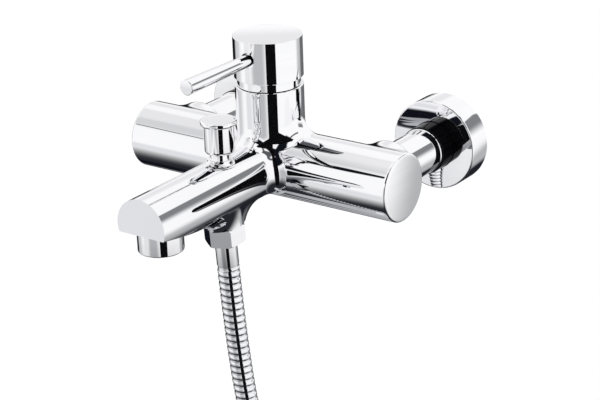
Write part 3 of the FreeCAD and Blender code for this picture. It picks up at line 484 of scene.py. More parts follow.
def bar(points: np.ndarray, start: Vector, end: Vector, radius: float) -> Field:
    """The field of a round bar with ball ends.

    Args:
        points: where it is sampled, one row each.
        start: centre of the first end.
        end: centre of the last end.
        radius: the bar's radius.

    Returns:
        The field at the points.
    """
    first, span = np.array(start), np.array(end - start)
    along = np.clip((points - first) @ span / (span @ span), 0.0, 1.0)
    away = points - first - along[:, None] * span
    length = np.linalg.norm(away, axis=1) + 1e-12
    return Field(length - radius, away / length[:, None])


def slab(points: np.ndarray, place: Vector, out: Vector) -> Field:
    """The field of everything behind a plane."""
    return Field((points - np.array(place)) @ np.array(out), np.tile(np.array(out), (len(points), 1)))


@dataclass
class Casting:
    """The one-piece body: tube, column, spout, inlet stubs, outlet boss and diverter pad."""

    axis_y: float = -92.0 * MM
    tube_radius: float = 21.8 * MM
    tube_half: float = 97.0 * MM
    column_radius: float = 21.9 * MM
    column_top: float = 51.0 * MM
    column_foot: float = 3.0 * MM
    spout_radius: float = 17.8 * MM
    spout_z: float = -0.5 * MM
    spout_face: float = -223.4 * MM
    spout_under: float = -6.0 * MM
    under_slope: float = 12.0
    under_edge: float = 0.9 * MM
    stub_x: float = 75.0 * MM
    stub_radius: float = 14.5 * MM
    stub_end: float = -33.0 * MM
    neck_radius: float = 19.3 * MM
    neck_end: float = -66.0 * MM
    neck_edge: float = 4.7 * MM
    boss_end: Vector = Vector((0.0, -145.2 * MM, -25.0 * MM))
    boss_radius: float = 12.8 * MM
    boss_height: float = 24.0 * MM
    tilt: float = 4.56
    pad_radius: float = 8.2 * MM
    pad_top: float = 18.4 * MM
    column_fillet: float = 11.0 * MM
    spout_fillet: float = 10.0 * MM
    boss_fillet: float = 17.0 * MM
    neck_fillet: tuple[float, float] = (3.0 * MM, 13.0 * MM)
    stub_fillet: float = 0.6 * MM
    pad_fillet: float = 1.5 * MM
    neck_inner: tuple[float, float] = (8.0 * MM, 20.0 * MM)
    neck_outer: tuple[float, float] = (6.0 * MM, 8.0 * MM)
    spare: float = 5.0 * MM
    boss_reach: float = 2.0 * MM
    voxels: tuple[tuple[float, int], ...] = ((1.7 * MM, 6), (0.85 * MM, 5))
    stride: float = 3.0 * MM

    @property
    def outlet(self) -> Vector:
        """The way the shower outlet points."""
        angle = math.radians(self.tilt)
        return Vector((0.0, math.sin(angle), -math.cos(angle)))

    def inlets(self, end: float, radius: float) -> list[tuple[Vector, Vector, float]]:
        """One bar from the tube toward the wall at each inlet."""
        return [(Vector((x, self.axis_y, 0)), Vector((x, end + self.spare, 0)), radius)
                for x in (-self.stub_x, self.stub_x)]

    def bars(self) -> list[tuple[Vector, Vector, float]]:
        """The round forms: tube, column, spout, boss, stubs, pad and necks.

        Returns:
            Start, end and radius of each.
        """
        y, spare, tube = self.axis_y, self.spare, self.tube_half
        boss, outlet = self.boss_end, self.outlet
        return [
            (Vector((-tube - spare, y, 0)), Vector((tube + spare, y, 0)), self.tube_radius),
            (Vector((0, y, self.column_foot)), Vector((0, y, self.column_top + spare)), self.column_radius),
            (Vector((0, y, self.spout_z)), Vector((0, self.spout_face - spare, self.spout_z)),
             self.spout_radius),
            (boss - outlet * self.boss_height, boss + outlet * spare, self.boss_radius),
            *self.inlets(self.stub_end, self.stub_radius),
            (Vector((0, boss.y, 0)), Vector((0, boss.y, self.pad_top + spare)), self.pad_radius),
            *self.inlets(self.neck_end, self.neck_radius),
        ]

    def neck_rounding(self, points: np.ndarray) -> np.ndarray:
        """Fillet of the necks: large toward the column and above or below, small elsewhere.

        Args:
            points: where it is wanted.

        Returns:
            The radius at each point.
        """
        reach, span = self.neck_inner
        inward = np.clip((self.stub_x + reach - np.abs(points[:, 0])) / span, 0.0, 1.0)
        reach, span = self.neck_outer
        inward = np.maximum(inward, np.clip((np.abs(points[:, 2]) - reach) / span, 0.0, 1.0))
        small, large = self.neck_fillet
        return small + (large - small) * inward

    def field(self, points: np.ndarray) -> Field:
        """The whole body's field.

        Args:
            points: where it is sampled.

        Returns:
            The field at the points.
        """
        tube, column, spout, boss, left, right, pad, *necks = [bar(points, *form) for form in self.bars()]
        slope = math.radians(self.under_slope)
        under = Vector((0, -math.sin(slope), -math.cos(slope)))
        tip = Vector((0, self.spout_face, self.spout_under))
        spout = spout.meet(slab(points, tip, under), self.under_edge)
        pad = pad.meet(slab(points, Vector((0, 0, self.pad_top)), UP), self.under_edge / 2)
        whole = tube.join(column, self.column_fillet).join(spout, self.spout_fillet)
        whole = whole.join(boss, self.boss_fillet)
        rounding = self.neck_rounding(points)
        for neck in necks:
            neck = neck.meet(slab(points, Vector((0, self.neck_end, 0)), -TO_ROOM), self.neck_edge)
            whole = whole.join(neck, rounding)
        whole = whole.join(left, self.stub_fillet).join(right, self.stub_fillet)
        return whole.join(pad, self.pad_fillet)

    def rough(self) -> bpy.types.Object:
        """Join plain bars into one object.

        Returns:
            The joined object.
        """
        Bench.clear()
        made = []
        for start, end, radius in self.bars():
            span = end - start
            bpy.ops.mesh.primitive_cylinder_add(vertices=64, radius=radius, depth=span.length,
                                                location=(start + end) / 2,
                                                rotation=UP.rotation_difference(span).to_euler())
            made.append(bpy.context.object)
        for piece in made:
            piece.select_set(True)
        bpy.context.view_layer.objects.active = made[0]
        bpy.ops.object.join()
        Bench.apply()
        made[0].name = "mixer_casting"
        return made[0]

    def settle(self, piece: bpy.types.Object, voxel: float, rounds: int) -> None:
        """Remesh evenly and bring every vertex onto the filleted surface.

        Args:
            piece: the object.
            voxel: the mesh's spacing.
            rounds: how many steps toward the surface.
        """
        Bench.take(piece)
        piece.data.remesh_voxel_size = voxel
        bpy.ops.object.voxel_remesh()
        places = np.empty(len(piece.data.vertices) * 3)
        piece.data.vertices.foreach_get("co", places)
        places = places.reshape(-1, 3)
        for _ in range(rounds):
            field = self.field(places)
            places -= np.clip(field.value, -self.stride, self.stride)[:, None] * field.out
        piece.data.vertices.foreach_set("co", places.ravel())
        piece.data.update()

    def ends(self) -> list[tuple[Vector, Vector, Callable[[Vector], bool]]]:
        """The flat ends.

        Returns:
            Place, direction and reach of each.
        """
        tube, spare, boss, outlet = self.tube_half, self.spare, self.boss_end, self.outlet
        return [
            *((Vector((side * tube, 0, 0)), Vector((side, 0, 0)),
               lambda p, s=side: p.x * s > tube - spare) for side in (-1, 1)),
            (Vector((0, 0, self.column_top)), UP, lambda p: p.z > self.column_top - spare),
            (Vector((0, self.spout_face, 0)), TO_ROOM, lambda p: p.y < self.spout_face + spare),
            (Vector((0, self.stub_end, 0)), -TO_ROOM, lambda p: p.y > self.stub_end - spare),
            (boss, outlet, lambda p: ((p - boss).dot(outlet) > -self.boss_reach
                                      and p.y < self.axis_y - self.tube_radius)),
        ]

    def trim(self, piece: bpy.types.Object) -> None:
        """Cut every end off flat and close it.

        Args:
            piece: the object.
        """
        Bench.take(piece)
        bpy.ops.object.mode_set(mode="EDIT")
        bpy.ops.mesh.select_mode(type="FACE")
        for place, out, reach in self.ends():
            bpy.ops.mesh.select_all(action="DESELECT")
            mesh = bmesh.from_edit_mesh(piece.data)
            for face in mesh.faces:
                face.select_set(reach(face.calc_center_median()))
            bmesh.update_edit_mesh(piece.data)
            bpy.ops.mesh.bisect(plane_co=place, plane_no=out, use_fill=True, clear_outer=True)
        bpy.ops.object.mode_set(mode="OBJECT")

    def shade(self, piece: bpy.types.Object) -> None:
        """Give every corner the surface's own normal, and the flat ends theirs.

        Args:
            piece: the object.
        """
        mesh = piece.data
        mesh.shade_smooth()
        places = np.empty(len(mesh.vertices) * 3)
        mesh.vertices.foreach_get("co", places)
        normals = self.field(places.reshape(-1, 3)).out
        corners = np.empty(len(mesh.loops), dtype=np.int64)
        mesh.loops.foreach_get("vertex_index", corners)
        corner_normals = normals[corners]
        for face in mesh.polygons:
            for place, out, _ in self.ends():
                off = abs((face.center - place).dot(out))
                if face.normal.dot(out) > FLAT_LEAN and off < FLAT_TOLERANCE:
                    for loop in face.loop_indices:
                        corner_normals[loop] = out
        mesh.normals_split_custom_set(corner_normals.tolist())

    def build(self) -> None:
        """Make and dress the casting."""
        piece = self.rough()
        for voxel, rounds in self.voxels:
            self.settle(piece, voxel, rounds)
        self.trim(piece)
        self.shade(piece)
        fit(piece, "chrome_body", ["valve_body"])


# ---------------------------------------------------------------- turned trim
@dataclass
class EndCaps:
    """The two domed caps on the ends of the body tube."""

    thickness: float = 3.0 * MM
    rounding: float = 1.3 * MM
    dome: float = 0.55 * MM
    dome_rings: int = 13

    def build(self, casting: Casting) -> None:
        """Make both caps.

        Args:
            casting: the body that they close.
        """
        radius, top = casting.tube_radius, self.thickness - self.dome
        flat = radius - self.rounding
        profile = [(radius, 0.0)] + arc((flat, top - self.rounding), self.rounding, 0, 84, 8)
        for step in range(1, self.dome_rings):
            share = 1 - step / self.dome_rings
            profile.append((flat * share, self.thickness - self.dome * share ** 2))
        for side, word in ((-1, "left"), (1, "right")):
            base = Vector((side * casting.tube_half, casting.axis_y, 0.0))
            cap = Bench.turn(word + "_tube_cap", profile, base, Vector((side, 0, 0)))
            fit(cap, "chrome_trim", [word + "_end_cap"])


@dataclass
class WallFittings:
    """A deep cover and a black nut with a bright lip at each inlet."""

    cover_edge: float = 1.1 * MM
    cover_wall: float = 1.2 * MM
    cover_gap: float = 0.4 * MM
    nut_edge: float = 0.9 * MM
    nut_bore: float = 11.0 * MM
    nut_shoulder: float = 2.5 * MM
    lip_width: float = 1.1 * MM
    lip_proud: float = 0.25 * MM
    lip_rise: float = 0.4 * MM
    lip_round: tuple[float, float] = (0.3 * MM, 0.2 * MM)

    def cover(self, word: str) -> None:
        """One cover, open at the wall.

        Args:
            word: which side it is on.
        """
        box = Extent.of(word + "_escutcheon")
        nut = Extent.of(word + "_union_nut")
        radius, depth = box.size.x / 2, box.size.y
        hole = nut.size.x / 2 + self.cover_gap
        edge, wall = self.cover_edge, self.cover_wall
        profile = [(radius, 0.0)] + arc((radius - edge, depth - edge), edge, 0, 90, 8)
        profile += [(hole, depth), (hole, depth - wall), (radius - wall - edge, depth - wall)]
        profile += [(radius - wall, depth - wall - edge), (radius - wall, 0.0)]
        base = Vector((box.centre.x, 0.0, box.centre.z))
        fit(Bench.turn(word + "_wall_cover", profile, base, TO_ROOM, closed=True), "chrome_trim",
            [word + "_escutcheon"])

    def nut(self, word: str) -> None:
        """One nut, with a bright lip at the stub.

        Args:
            word: which side it is on.
        """
        box = Extent.of(word + "_union_nut")
        radius, low, high = box.size.x / 2, -box.high.y, -box.low.y
        bore, lip = self.nut_bore, high - self.lip_width
        base = Vector((box.centre.x, 0.0, box.centre.z))
        edge = self.nut_edge
        profile = [(bore, low), (radius, low), (radius, lip - self.nut_shoulder)]
        profile += arc((radius - edge, lip - edge), edge, 0, 90, 6) + [(bore, lip)]
        fit(Bench.turn(word + "_black_nut", profile, base, TO_ROOM, closed=True), "black_nut",
            [word + "_union_nut"])
        rim, (across, along) = radius - edge, self.lip_round
        ring = [(bore, lip), (rim, lip), (rim + self.lip_proud, lip + self.lip_rise),
                (rim, high - along), (rim - across, high), (bore, high)]
        fit(Bench.turn(word + "_nut_lip", ring, base, TO_ROOM, closed=True), "chrome_trim",
            [word + "_union_nut"])

    def build(self) -> None:
        """Make both inlets' fittings."""
        for word in ("left", "right"):
            self.cover(word)
            self.nut(word)


@dataclass
class Handle:
    """Collar, handle body and lever."""

    collar_low: float = 51.3 * MM
    collar_wall: float = 1.0 * MM
    collar_edge: float = 0.25 * MM
    top_edge: float = 0.35 * MM
    skirt: float = 1.1 * MM
    cavity_top: float = 64.5 * MM
    lever_z: float = 71.8 * MM
    recess_radius: float = 5.0 * MM
    recess: float = 3.2 * MM
    drill_rings: tuple[float, float] = (-0.6 * MM, 3.0 * MM)
    root_radius: float = 3.85 * MM
    tip_radius: float = 4.8 * MM
    tip_edge: float = 0.6 * MM

    def collar(self) -> None:
        """The ring between casting and handle."""
        box = Extent.of("collar_ring")
        radius, high = box.size.x / 2, box.high.z
        low, inner, edge = self.collar_low, radius - self.collar_wall, self.collar_edge
        profile = [(inner, low), (radius - edge, low), (radius, low + edge), (radius, high - edge),
                   (radius - edge, high), (inner, high)]
        base = Vector((0.0, box.centre.y, 0.0))
        fit(Bench.turn("collar_band", profile, base, UP, closed=True), "chrome_trim", ["collar_ring"])

    def cap(self) -> None:
        """The handle body with the recess for the lever."""
        box = Extent.of("handle_cap")
        radius, low, high = box.size.x / 2, box.low.z, box.high.z
        edge = self.top_edge
        base = Vector((0.0, box.centre.y, 0.0))
        profile = [(radius - self.skirt, self.cavity_top), (radius - self.skirt, low), (radius - edge, low),
                   (radius, low + edge)]
        profile += arc((radius - edge, high - edge), edge, 0, 90, 5)
        made = Bench.turn("handle_body", profile, base, UP)
        drill = [(self.recess_radius, radius + ring) for ring in (-self.recess, *self.drill_rings)]
        tool = Bench.turn("lever_drill", drill, base + UP * self.lever_z, TO_ROOM, segments=64)
        Bench.combine(made, tool, "DIFFERENCE")
        Bench.true_round(made, base, UP, radius)
        fit(made, "chrome_trim", ["handle_cap"], "lever")

    def lever(self) -> None:
        """The tapered rod."""
        box = Extent.of("lever_rod")
        cap = Extent.of("handle_cap")
        tip = cap.centre.y - box.low.y
        root = cap.size.x / 2 - self.recess
        edge = self.tip_edge
        profile = [(self.root_radius, root), (self.tip_radius, tip - edge)]
        profile += arc((self.tip_radius - edge, tip - edge), edge, 10, 90, 6)
        base = Vector((0.0, cap.centre.y, self.lever_z))
        fit(Bench.turn("lever_arm", profile, base, TO_ROOM, segments=96), "chrome_trim",
            ["lever_rod"], "lever")

    def build(self) -> None:
        """Make the pieces."""
        self.collar()
        self.cap()
        self.lever()


@dataclass
class Diverter:
    """The pull knob and the bush that it slides on."""

    body_radius: float = 9.5 * MM
    flange: float = 3.2 * MM
    foot_rounding: float = 2.4 * MM
    flange_edge: float = 1.3 * MM
    flare: tuple[float, float] = (0.4 * MM, 0.2 * MM)
    cavity: float = 6.8 * MM
    cavity_top: float = 31.0 * MM
    crown: float = 0.5
    bush_edge: float = 0.4 * MM
    bush_ring: float = 18.7 * MM

    def knob(self) -> None:
        """The knob with its rounded foot and its flange."""
        box = Extent.of("diverter_knob")
        radius, low, high = box.size.x / 2, box.low.z, box.high.z
        neck = high - self.flange
        foot, edge = self.foot_rounding, self.flange_edge
        across, along = self.flare
        profile = [(self.cavity, self.cavity_top), (self.cavity, low)]
        profile += arc((self.body_radius - foot, low + foot), foot, -90, 0, 8)
        profile += [(self.body_radius, neck - along), (self.body_radius + across, neck)]
        profile += arc((radius - edge, neck + edge), edge, -70, 0, 6)
        profile += arc((radius - edge, high - edge), edge, 0, 90, 6)
        profile += [(radius * self.crown, high)]
        base = Vector((0.0, box.centre.y, 0.0))
        fit(Bench.turn("diverter_pull", profile, base, UP, segments=112), "chrome_trim", ["diverter_knob"],
            "diverter")

    def gland(self) -> None:
        """The plain bush that stands in the spout."""
        box = Extent.of("diverter_gland")
        radius, low, high = box.size.x / 2, box.low.z, box.high.z
        edge = self.bush_edge
        profile = [(radius, low), (radius, self.bush_ring)]
        profile += arc((radius - edge, high - edge), edge, 0, 90, 4)
        base = Vector((0.0, box.centre.y, 0.0))
        fit(Bench.turn("diverter_bush", profile, base, UP, segments=96), "chrome_trim", ["diverter_gland"])

    def build(self) -> None:
        """Make both pieces."""
        self.knob()
        self.gland()


@dataclass
class Aerator:
    """The sleeve under the tip of the spout."""

    bore: float = 10.2 * MM
    lip: float = 9.0 * MM
    lip_height: float = 1.4 * MM
    edge: float = 0.9 * MM
    top: float = -6.1 * MM
    top_edge: float = 0.2 * MM

    def build(self) -> None:
        """Make the sleeve."""
        box = Extent.of("aerator_housing")
        radius, low = box.size.x / 2, box.low.z
        high, edge, rim = self.top, self.edge, self.top_edge
        profile = [(self.lip, low), (radius - edge, low)] + arc((radius - edge, low + edge), edge, -90, 0, 7)
        profile += [(radius, high - rim), (radius - rim, high), (self.bore, high),
                    (self.bore, low + self.lip_height), (self.lip, low + self.lip_height)]
        base = Vector((0.0, box.centre.y, 0.0))
        fit(Bench.turn("aerator_sleeve", profile, base, UP, closed=True), "chrome_trim", ["aerator_housing"])


@dataclass
class HoseFittings:
    """Hexagon nut, sleeve, end ferrule and handset nut."""

    flats: float = 23.0 * MM
    nut_start: float = 0.3 * MM
    nut_length: float = 11.9 * MM
    nut_turn: float = 5.0
    face_radius: float = 12.4 * MM
    corner_edge: float = 0.35 * MM
    chamfer_angle: float = 32.0
    chamfer_spare: float = 0.5 * MM
    limit_spare: float = 0.2 * MM
    face_ring: float = 0.9
    bore: float = 10.6 * MM
    sleeve_radius: float = 7.05 * MM
    sleeve_length: float = 16.6 * MM
    sleeve_edge: float = 0.5 * MM
    sleeve_sunk: float = 0.3 * MM
    end_flange: float = 2.0 * MM
    end_bore: tuple[float, float] = (5.0 * MM, 6.0 * MM)
    cone_gap: float = 0.15 * MM
    cone_edge: float = 0.6 * MM
    cone_chamfer: float = 0.4 * MM
    skirt_step: tuple[float, float] = (0.3 * MM, 0.8 * MM)
    neck: float = 8.6 * MM
    shoulder: float = 11.2 * MM
    flange_seat: float = 4.0 * MM
    pocket: float = 9.7 * MM
    pocket_end: float = 7.9 * MM
    skirt: float = 16.0 * MM

    def hexagon(self, casting: Casting) -> None:
        """The hexagon nut with turned-off corners.

        Args:
            casting: the body whose outlet it is screwed to.
        """
        corner = self.flats / 2 / math.cos(math.radians(30))
        start, end = self.nut_start, self.nut_start + self.nut_length
        Bench.clear()
        bpy.ops.mesh.primitive_cylinder_add(vertices=6, radius=corner, depth=self.nut_length,
                                            location=(0, 0, (start + end) / 2))
        nut = bpy.context.object
        nut.name = "hose_hexagon"
        Bench.apply()
        bpy.ops.object.mode_set(mode="EDIT")
        bpy.ops.mesh.select_all(action="DESELECT")
        mesh = bmesh.from_edit_mesh(nut.data)
        for edge in mesh.edges:
            edge.select_set(abs(edge.verts[0].co.z - edge.verts[1].co.z) > self.nut_length / 2)
        bmesh.update_edit_mesh(nut.data)
        bpy.ops.mesh.bevel(offset=self.corner_edge, segments=2, affect="EDGES")
        bpy.ops.object.mode_set(mode="OBJECT")
        face, outer = self.face_radius, corner + self.limit_spare
        slope = (corner - face) * math.tan(math.radians(self.chamfer_angle)) + self.chamfer_spare
        limit = [(face * self.face_ring, start), (face, start), (outer, start + slope),
                 (outer, end - slope), (face, end), (face * self.face_ring, end)]
        Bench.combine(nut, Bench.turn("nut_limit", limit, segments=96), "INTERSECT")
        nut.data.transform(Matrix.Rotation(math.radians(self.nut_turn), 4, "Z"))
        Bench.put(nut, casting.boss_end, casting.outlet)
        Bench.smooth(nut, 20)
        fit(nut, "chrome_trim", ["hose_nut"])

    def sleeve(self, casting: Casting) -> None:
        """The crimped sleeve between nut and hose.

        Args:
            casting: the body whose outlet it follows.
        """
        start = self.nut_start + self.nut_length
        end = start + self.sleeve_length
        edge = self.sleeve_edge
        profile = [(self.sleeve_radius, start - self.sleeve_sunk)]
        profile += arc((self.sleeve_radius - edge, end - edge), edge, 0, 90, 5)
        fit(Bench.turn("hose_sleeve", profile, casting.boss_end, casting.outlet, segments=96), "chrome_trim",
            ["hose_ferrule"])

    def end_sleeve(self) -> None:
        """The flanged sleeve at the handset end."""
        box = Extent.of("end_ferrule")
        flange = box.size.x / 2
        length, radius, edge = box.size.z, self.sleeve_radius, self.sleeve_edge
        seat, (bore, depth) = length - self.end_flange, self.end_bore
        profile = [(radius - edge, 0.0), (radius, edge), (radius, seat), (flange, seat), (flange, length),
                   (bore, length), (bore, length - depth)]
        base = Vector((box.centre.x, box.centre.y, box.high.z))
        fit(Bench.turn("end_sleeve", profile, base, -UP, segments=96), "chrome_trim", ["end_ferrule"])

    def cone(self) -> None:
        """The cone nut with its stepped skirt."""
        box = Extent.of("handset_nut")
        radius, length = box.size.x / 2, box.size.z
        bore = self.sleeve_radius + self.cone_gap
        edge, chamfer, (inset, band) = self.cone_edge, self.cone_chamfer, self.skirt_step
        profile = [(bore, 0.0), (self.neck - chamfer, 0.0), (self.neck, chamfer),
                   (self.shoulder, self.flange_seat), (radius - inset, self.skirt - band),
                   (radius - inset, self.skirt), (radius, self.skirt + chamfer)]
        profile += arc((radius - edge, length - edge), edge, 0, 90, 5)
        profile += [(self.bore, length), (self.bore, self.pocket_end), (self.pocket, self.pocket_end),
                    (self.pocket, self.flange_seat), (bore, self.flange_seat)]
        base = Vector((box.centre.x, box.centre.y, box.high.z))
        fit(Bench.turn("handset_cone", profile, base, -UP, closed=True), "chrome_trim", ["handset_nut"],
            "handset_cone")

    def build(self, casting: Casting) -> None:
        """Make the four pieces."""
        self.hexagon(casting)
        self.sleeve(casting)
        self.end_sleeve()
        self.cone()


# ---------------------------------------------------------------- shower hose
@dataclass
class Hose:
    """The spiral metal hose: straight down, a swing to the right, two turns and a short tail."""

    lead: tuple[Triple, ...] = (
        (0.0, -0.14291, -0.05371), (0.0, -0.13378, -0.16815), (0.0273, -0.13378, -0.21543),
        (0.06454, -0.13378, -0.23693), (0.08604, -0.13378, -0.27417))
    radius: float = 7.2 * MM
    pitch: float = 4.65 * MM
    length: float = 1.4535
    coil_radius: float = 86.0 * MM
    coil_z: float = -0.31717
    coil_pitch: float = 17.5 * MM
    turns: int = 2
    points_per_turn: int = 16
    shrink: float = 0.987
    tail_end: float = -394.77 * MM
    rings_per_pitch: int = 9
    sides: int = 22
    broad: tuple[float, float, int] = (0.66, 0.75 * MM, 6)
    narrow: tuple[float, float, int] = (0.34, 0.4 * MM, 4)
    rib_drop: float = 0.35 * MM
    end_drop: float = 0.5 * MM
    end_share: float = 0.34

    def route(self) -> list[Vector]:
        """The way of the hose.

        Returns:
            Control points from the sleeve to the end ferrule.
        """
        points = [Vector(place) for place in self.lead]
        x, front, _ = self.lead[-1]
        centre_x, centre_z = x - self.coil_radius, self.coil_z
        around = self.coil_radius / self.shrink
        for step in range(self.turns * self.points_per_turn + 1):
            turn = step / self.points_per_turn
            angle = 2 * math.pi * turn
            points.append(Vector((centre_x + around * math.cos(angle), front + self.coil_pitch * turn,
                                  centre_z - around * math.sin(angle))))
        y = front + self.coil_pitch * self.turns
        points.append(Vector((x, y, (centre_z + self.tail_end) / 2)))
        points.append(Vector((x, y, self.tail_end)))
        return points

    def line(self) -> np.ndarray:
        """Even points along the smooth route.

        Returns:
            One row for each ring of the hose.
        """
        curve = bpy.data.curves.new("hose_route", "CURVE")
        curve.dimensions = "3D"
        spline = curve.splines.new("NURBS")
        route = self.route()
        spline.points.add(len(route) - 1)
        for point, place in zip(spline.points, route):
            point.co = (*place, 1.0)
        spline.order_u = 3
        spline.use_endpoint_u = True
        spline.resolution_u = 24
        holder = bpy.data.objects.new("hose_route", curve)
        bpy.context.scene.collection.objects.link(holder)
        bpy.context.view_layer.update()
        mesh = bpy.data.meshes.new_from_object(holder)
        dense = np.array([vertex.co for vertex in mesh.vertices])
        bpy.data.objects.remove(holder)
        bpy.data.curves.remove(curve)
        bpy.data.meshes.remove(mesh)
        along = np.concatenate([[0.0], np.cumsum(np.linalg.norm(np.diff(dense, axis=0), axis=1))])
        rings = round(along[-1] / self.pitch * self.rings_per_pitch)
        even = np.linspace(0.0, along[-1], rings + 1)
        return np.stack([np.interp(even, along, dense[:, axis]) for axis in range(3)], axis=1)

    def section(self, phase: np.ndarray) -> np.ndarray:
        """Radius round the spiral: a broad band and a narrow one, with a groove each side.

        Args:
            phase: place in the pitch, any real number.

        Returns:
            The radius at each phase.
        """
        place = phase % 1.0
        broad, broad_fall, broad_power = self.broad
        narrow, narrow_fall, narrow_power = self.narrow
        in_broad = np.abs(place / broad * 2 - 1)
        in_narrow = np.abs((place - broad) / narrow * 2 - 1)
        band = self.radius - broad_fall * in_broad ** broad_power
        rib = self.radius - self.rib_drop - narrow_fall * in_narrow ** narrow_power
        return np.where(place < broad, band, rib)

    def build(self) -> None:
        line = self.line()
        ahead = np.gradient(line, axis=0)
        ahead /= np.linalg.norm(ahead, axis=1)[:, None]
        side = np.zeros_like(line)
        side[0] = (1.0, 0.0, 0.0)
        for index in range(1, len(line)):
            flat = side[index - 1] - ahead[index] * (side[index - 1] @ ahead[index])
            side[index] = flat / np.linalg.norm(flat)
        across = np.cross(ahead, side)
        angles = np.arange(self.sides) / self.sides * 2 * math.pi
        turns = np.arange(len(line))[:, None] / self.rings_per_pitch
        radius = self.section(turns + angles[None, :] / (2 * math.pi))
        order = np.arange(len(line))
        from_end = np.minimum(order, order[::-1])[:, None] / self.rings_per_pitch
        radius = np.where(from_end < self.end_share, self.radius - self.end_drop, radius)
        around = (np.cos(angles)[None, :, None] * side[:, None, :]
                  + np.sin(angles)[None, :, None] * across[:, None, :])
        places = line[:, None, :] + radius[:, :, None] * around
        rings, sides = len(line), self.sides
        faces = []
        for ring in range(rings - 1):
            for step in range(sides):
                near, far = ring * sides + step, ring * sides + (step + 1) % sides
                faces.append((near, far, far + sides, near + sides))
        faces.append(tuple(reversed(range(sides))))
        faces.append(tuple(range((rings - 1) * sides, rings * sides)))
        mesh = bpy.data.meshes.new("shower_hose")
        mesh.from_pydata(places.reshape(-1, 3).tolist(), [], faces)
        mesh.update()
        hose = bpy.data.objects.new("shower_hose", mesh)
        bpy.context.scene.collection.objects.link(hose)
        Bench.smooth(hose, 60)
        fit(hose, "hose_metal", ["hose_lead", "hose_coil", "hose_tail"])


# ---------------------------------------------------------------- studio
@dataclass(frozen=True)
class Card:
    """A soft-edged patch of the surroundings, seen in the chrome.

    Everything but the colour is in degrees; edge softens the sides and the top, fade the foot.
    """

    azimuth: float
    elevation: float
    width: float
    height: float
    edge: float
    fade: float
    colour: Triple


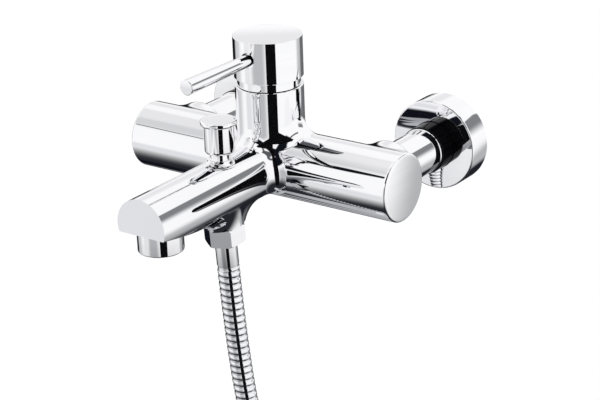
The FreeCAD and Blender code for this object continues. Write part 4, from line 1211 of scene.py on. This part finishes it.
@dataclass
class Studio:
    """Camera, pale floor and the light all round."""

    azimuth: float = 35.986
    elevation: float = 21.846
    roll: float = -2.031
    distance: float = 1.22498
    target: Vector = Vector((-0.002504, -0.060, -0.0398))
    lens: float = 111.06
    floor_gap: float = 0.02
    floor_half: float = 30.0
    flag_place: Vector = Vector((0.42, -0.51, 0.45))
    flag_size: tuple[float, float] = (0.34, 3.2)
    surround: Triple = (1.03, 1.03, 1.035)
    daylight: Triple = (1.1, 1.1, 1.1)
    floor_grey: Triple = (0.93, 0.93, 0.93)
    flag_grey: Triple = (0.004, 0.004, 0.005)
    cards: tuple[Card, ...] = (
        Card(-85, 52, 60, 20, 14, 14, (0.86, 0.86, 0.87)),
        Card(-56, 42, 24, 22, 14, 14, (0.70, 0.705, 0.715)),
        Card(2, -18, 46, 60, 22, 22, (0.52, 0.525, 0.54)),
        Card(-84, -18, 30, 40, 24, 24, (0.66, 0.665, 0.68)),
        Card(36, -85, 360, 100, 36, 36, (0.020, 0.022, 0.028)),
        Card(-38, -23, 20, 14, 8, 8, (0.80, 0.805, 0.82)),
        Card(-144, 23, 24, 18, 10, 10, (0.86, 0.86, 0.87)),
        Card(168, -27, 44, 26, 14, 14, (0.480, 0.485, 0.495)),
        Card(-172, -28, 44, 34, 12, 10, (0.150, 0.155, 0.165)),
        Card(-172, -38, 34, 14, 6, 6, (0.015, 0.016, 0.022)),
        Card(-127, -26, 62, 56, 14, 8, (0.006, 0.007, 0.011)),
        Card(-100, -63, 44, 14, 2, 2, (0.480, 0.490, 0.510)),
        Card(-122, -58, 16, 16, 2, 2, (0.430, 0.440, 0.460)),
        Card(-136, -50, 16, 26, 2, 2, (0.380, 0.390, 0.410)),
        Card(142, 19, 26, 18, 2, 16, (0.230, 0.235, 0.245)),
        Card(-46, 32.5, 7, 1.6, 0.8, 0.8, (0.060, 0.062, 0.070)),
        Card(-40.5, 35, 5, 8, 1, 1, (0.006, 0.007, 0.011)),
        Card(22, 42, 84, 34, 6, 6, (0.006, 0.007, 0.011)),
        Card(92, 54, 60, 8, 4, 4, (0.100, 0.105, 0.115)),
    )

    def camera(self) -> None:
        """Make the camera and give it to the scene."""
        azimuth, height = math.radians(self.azimuth), math.radians(self.elevation)
        back = Vector((math.sin(azimuth) * math.cos(height), -math.cos(azimuth) * math.cos(height),
                       math.sin(height)))
        right = (-back).cross(UP).normalized()
        up = right.cross(-back)
        turn = math.radians(self.roll)
        across = math.cos(turn) * right + math.sin(turn) * up
        above = -math.sin(turn) * right + math.cos(turn) * up
        bpy.ops.object.camera_add()
        camera = bpy.context.object
        place = Matrix((across, above, back)).transposed().to_4x4()
        camera.matrix_world = Matrix.Translation(self.target + back * self.distance) @ place
        camera.data.sensor_width = 36.0
        camera.data.lens = self.lens
        camera.data.clip_start, camera.data.clip_end = 0.01, 200.0
        bpy.context.scene.camera = camera

    def floor(self) -> None:
        """A plain pale floor under the object, not mirrored in the chrome."""
        bpy.ops.mesh.primitive_plane_add(size=2 * self.floor_half,
                                         location=(0, 0, CAD_BOX[0].z - self.floor_gap))
        plane = bpy.context.object
        plane.name = "studio_floor"
        plane.visible_glossy = False
        plane.data.materials.append(matt("pale_floor", self.floor_grey, 0.5))

    def flag(self) -> None:
        """A black card that stands near the object and is seen only in the chrome."""
        bpy.ops.mesh.primitive_plane_add(size=1.0)
        card = bpy.context.object
        card.name = "studio_flag"
        width, height = self.flag_size
        turn = Matrix.Rotation(math.atan2(self.flag_place.y, self.flag_place.x) + math.pi / 2, 4, "Z")
        stand = Matrix.Rotation(math.pi / 2, 4, "X")
        size = Matrix.Diagonal((width, height, 1.0, 1.0))
        card.data.transform(Matrix.Translation(self.flag_place) @ turn @ stand @ size)
        for way in ("camera", "diffuse", "shadow", "transmission"):
            setattr(card, f"visible_{way}", False)
        card.data.materials.append(matt("flag_black", self.flag_grey, 0.0))

    def light(self) -> None:
        """Soft light from all round, with the dark gaps between the soft boxes."""
        world = bpy.data.worlds.new("studio")
        world.use_nodes = True
        bpy.context.scene.world = world
        graph = Graph(world.node_tree)
        way = graph.node("ShaderNodeTexCoord")["Generated"]
        parts = graph.node("ShaderNodeSeparateXYZ", None, {0: way})
        x, y, z = parts["X"], parts["Y"], parts["Z"]
        degrees = 180 / math.pi
        height = z.math("ARCSINE", z) * degrees
        colour: Any = (*self.surround, 1.0)
        for card in self.cards:
            turn = math.radians(card.azimuth)
            forward = x * math.sin(turn) - y * math.cos(turn)
            sideways = x * math.cos(turn) + y * math.sin(turn)
            bearing = sideways.math("ARCTAN2", sideways, forward) * degrees
            half_width, half_height, edge, fade = (
                length / 2 for length in (card.width, card.height, card.edge, card.fade))
            across = abs(bearing).ramp(half_width + edge, half_width - edge)
            above = (height - card.elevation).ramp(half_height + edge, half_height - edge)
            below = (card.elevation - height).ramp(half_height + fade, half_height - fade)
            colour = graph.mix(across * (above * below), colour, (*card.colour, 1.0))
        mirrored = graph.node("ShaderNodeLightPath")["Is Glossy Ray"]
        colour = graph.mix(mirrored, (*self.daylight, 1.0), colour)
        shader = graph.node("ShaderNodeBackground", None, {"Color": colour, "Strength": 1.0})
        graph.node("ShaderNodeOutputWorld", None, {"Surface": shader})

    def build(self) -> None:
        """Set up camera, floor, flag and light."""
        bpy.context.scene.view_settings.view_transform = "Standard"
        self.camera()
        self.floor()
        self.flag()
        self.light()


def dress_nodes() -> None:
    """Give every CAD node the finish of its material slot."""
    for entry in frame["record"]["subparts"]:
        node = frame["nodes"][entry["node"]]
        node.data.materials.clear()
        node.data.materials.append(MADE[entry["material_slot"]])


def main() -> None:
    """Build every sub-assembly and the studio."""
    logging.basicConfig(level=logging.INFO, format="%(name)s %(message)s")
    Studio().build()
    dress_nodes()
    casting = Casting()
    casting.build()
    EndCaps().build(casting)
    WallFittings().build()
    Handle().build()
    Diverter().build()
    Aerator().build()
    HoseFittings().build(casting)
    Hose().build()


if __name__ == "__main__":
    main()
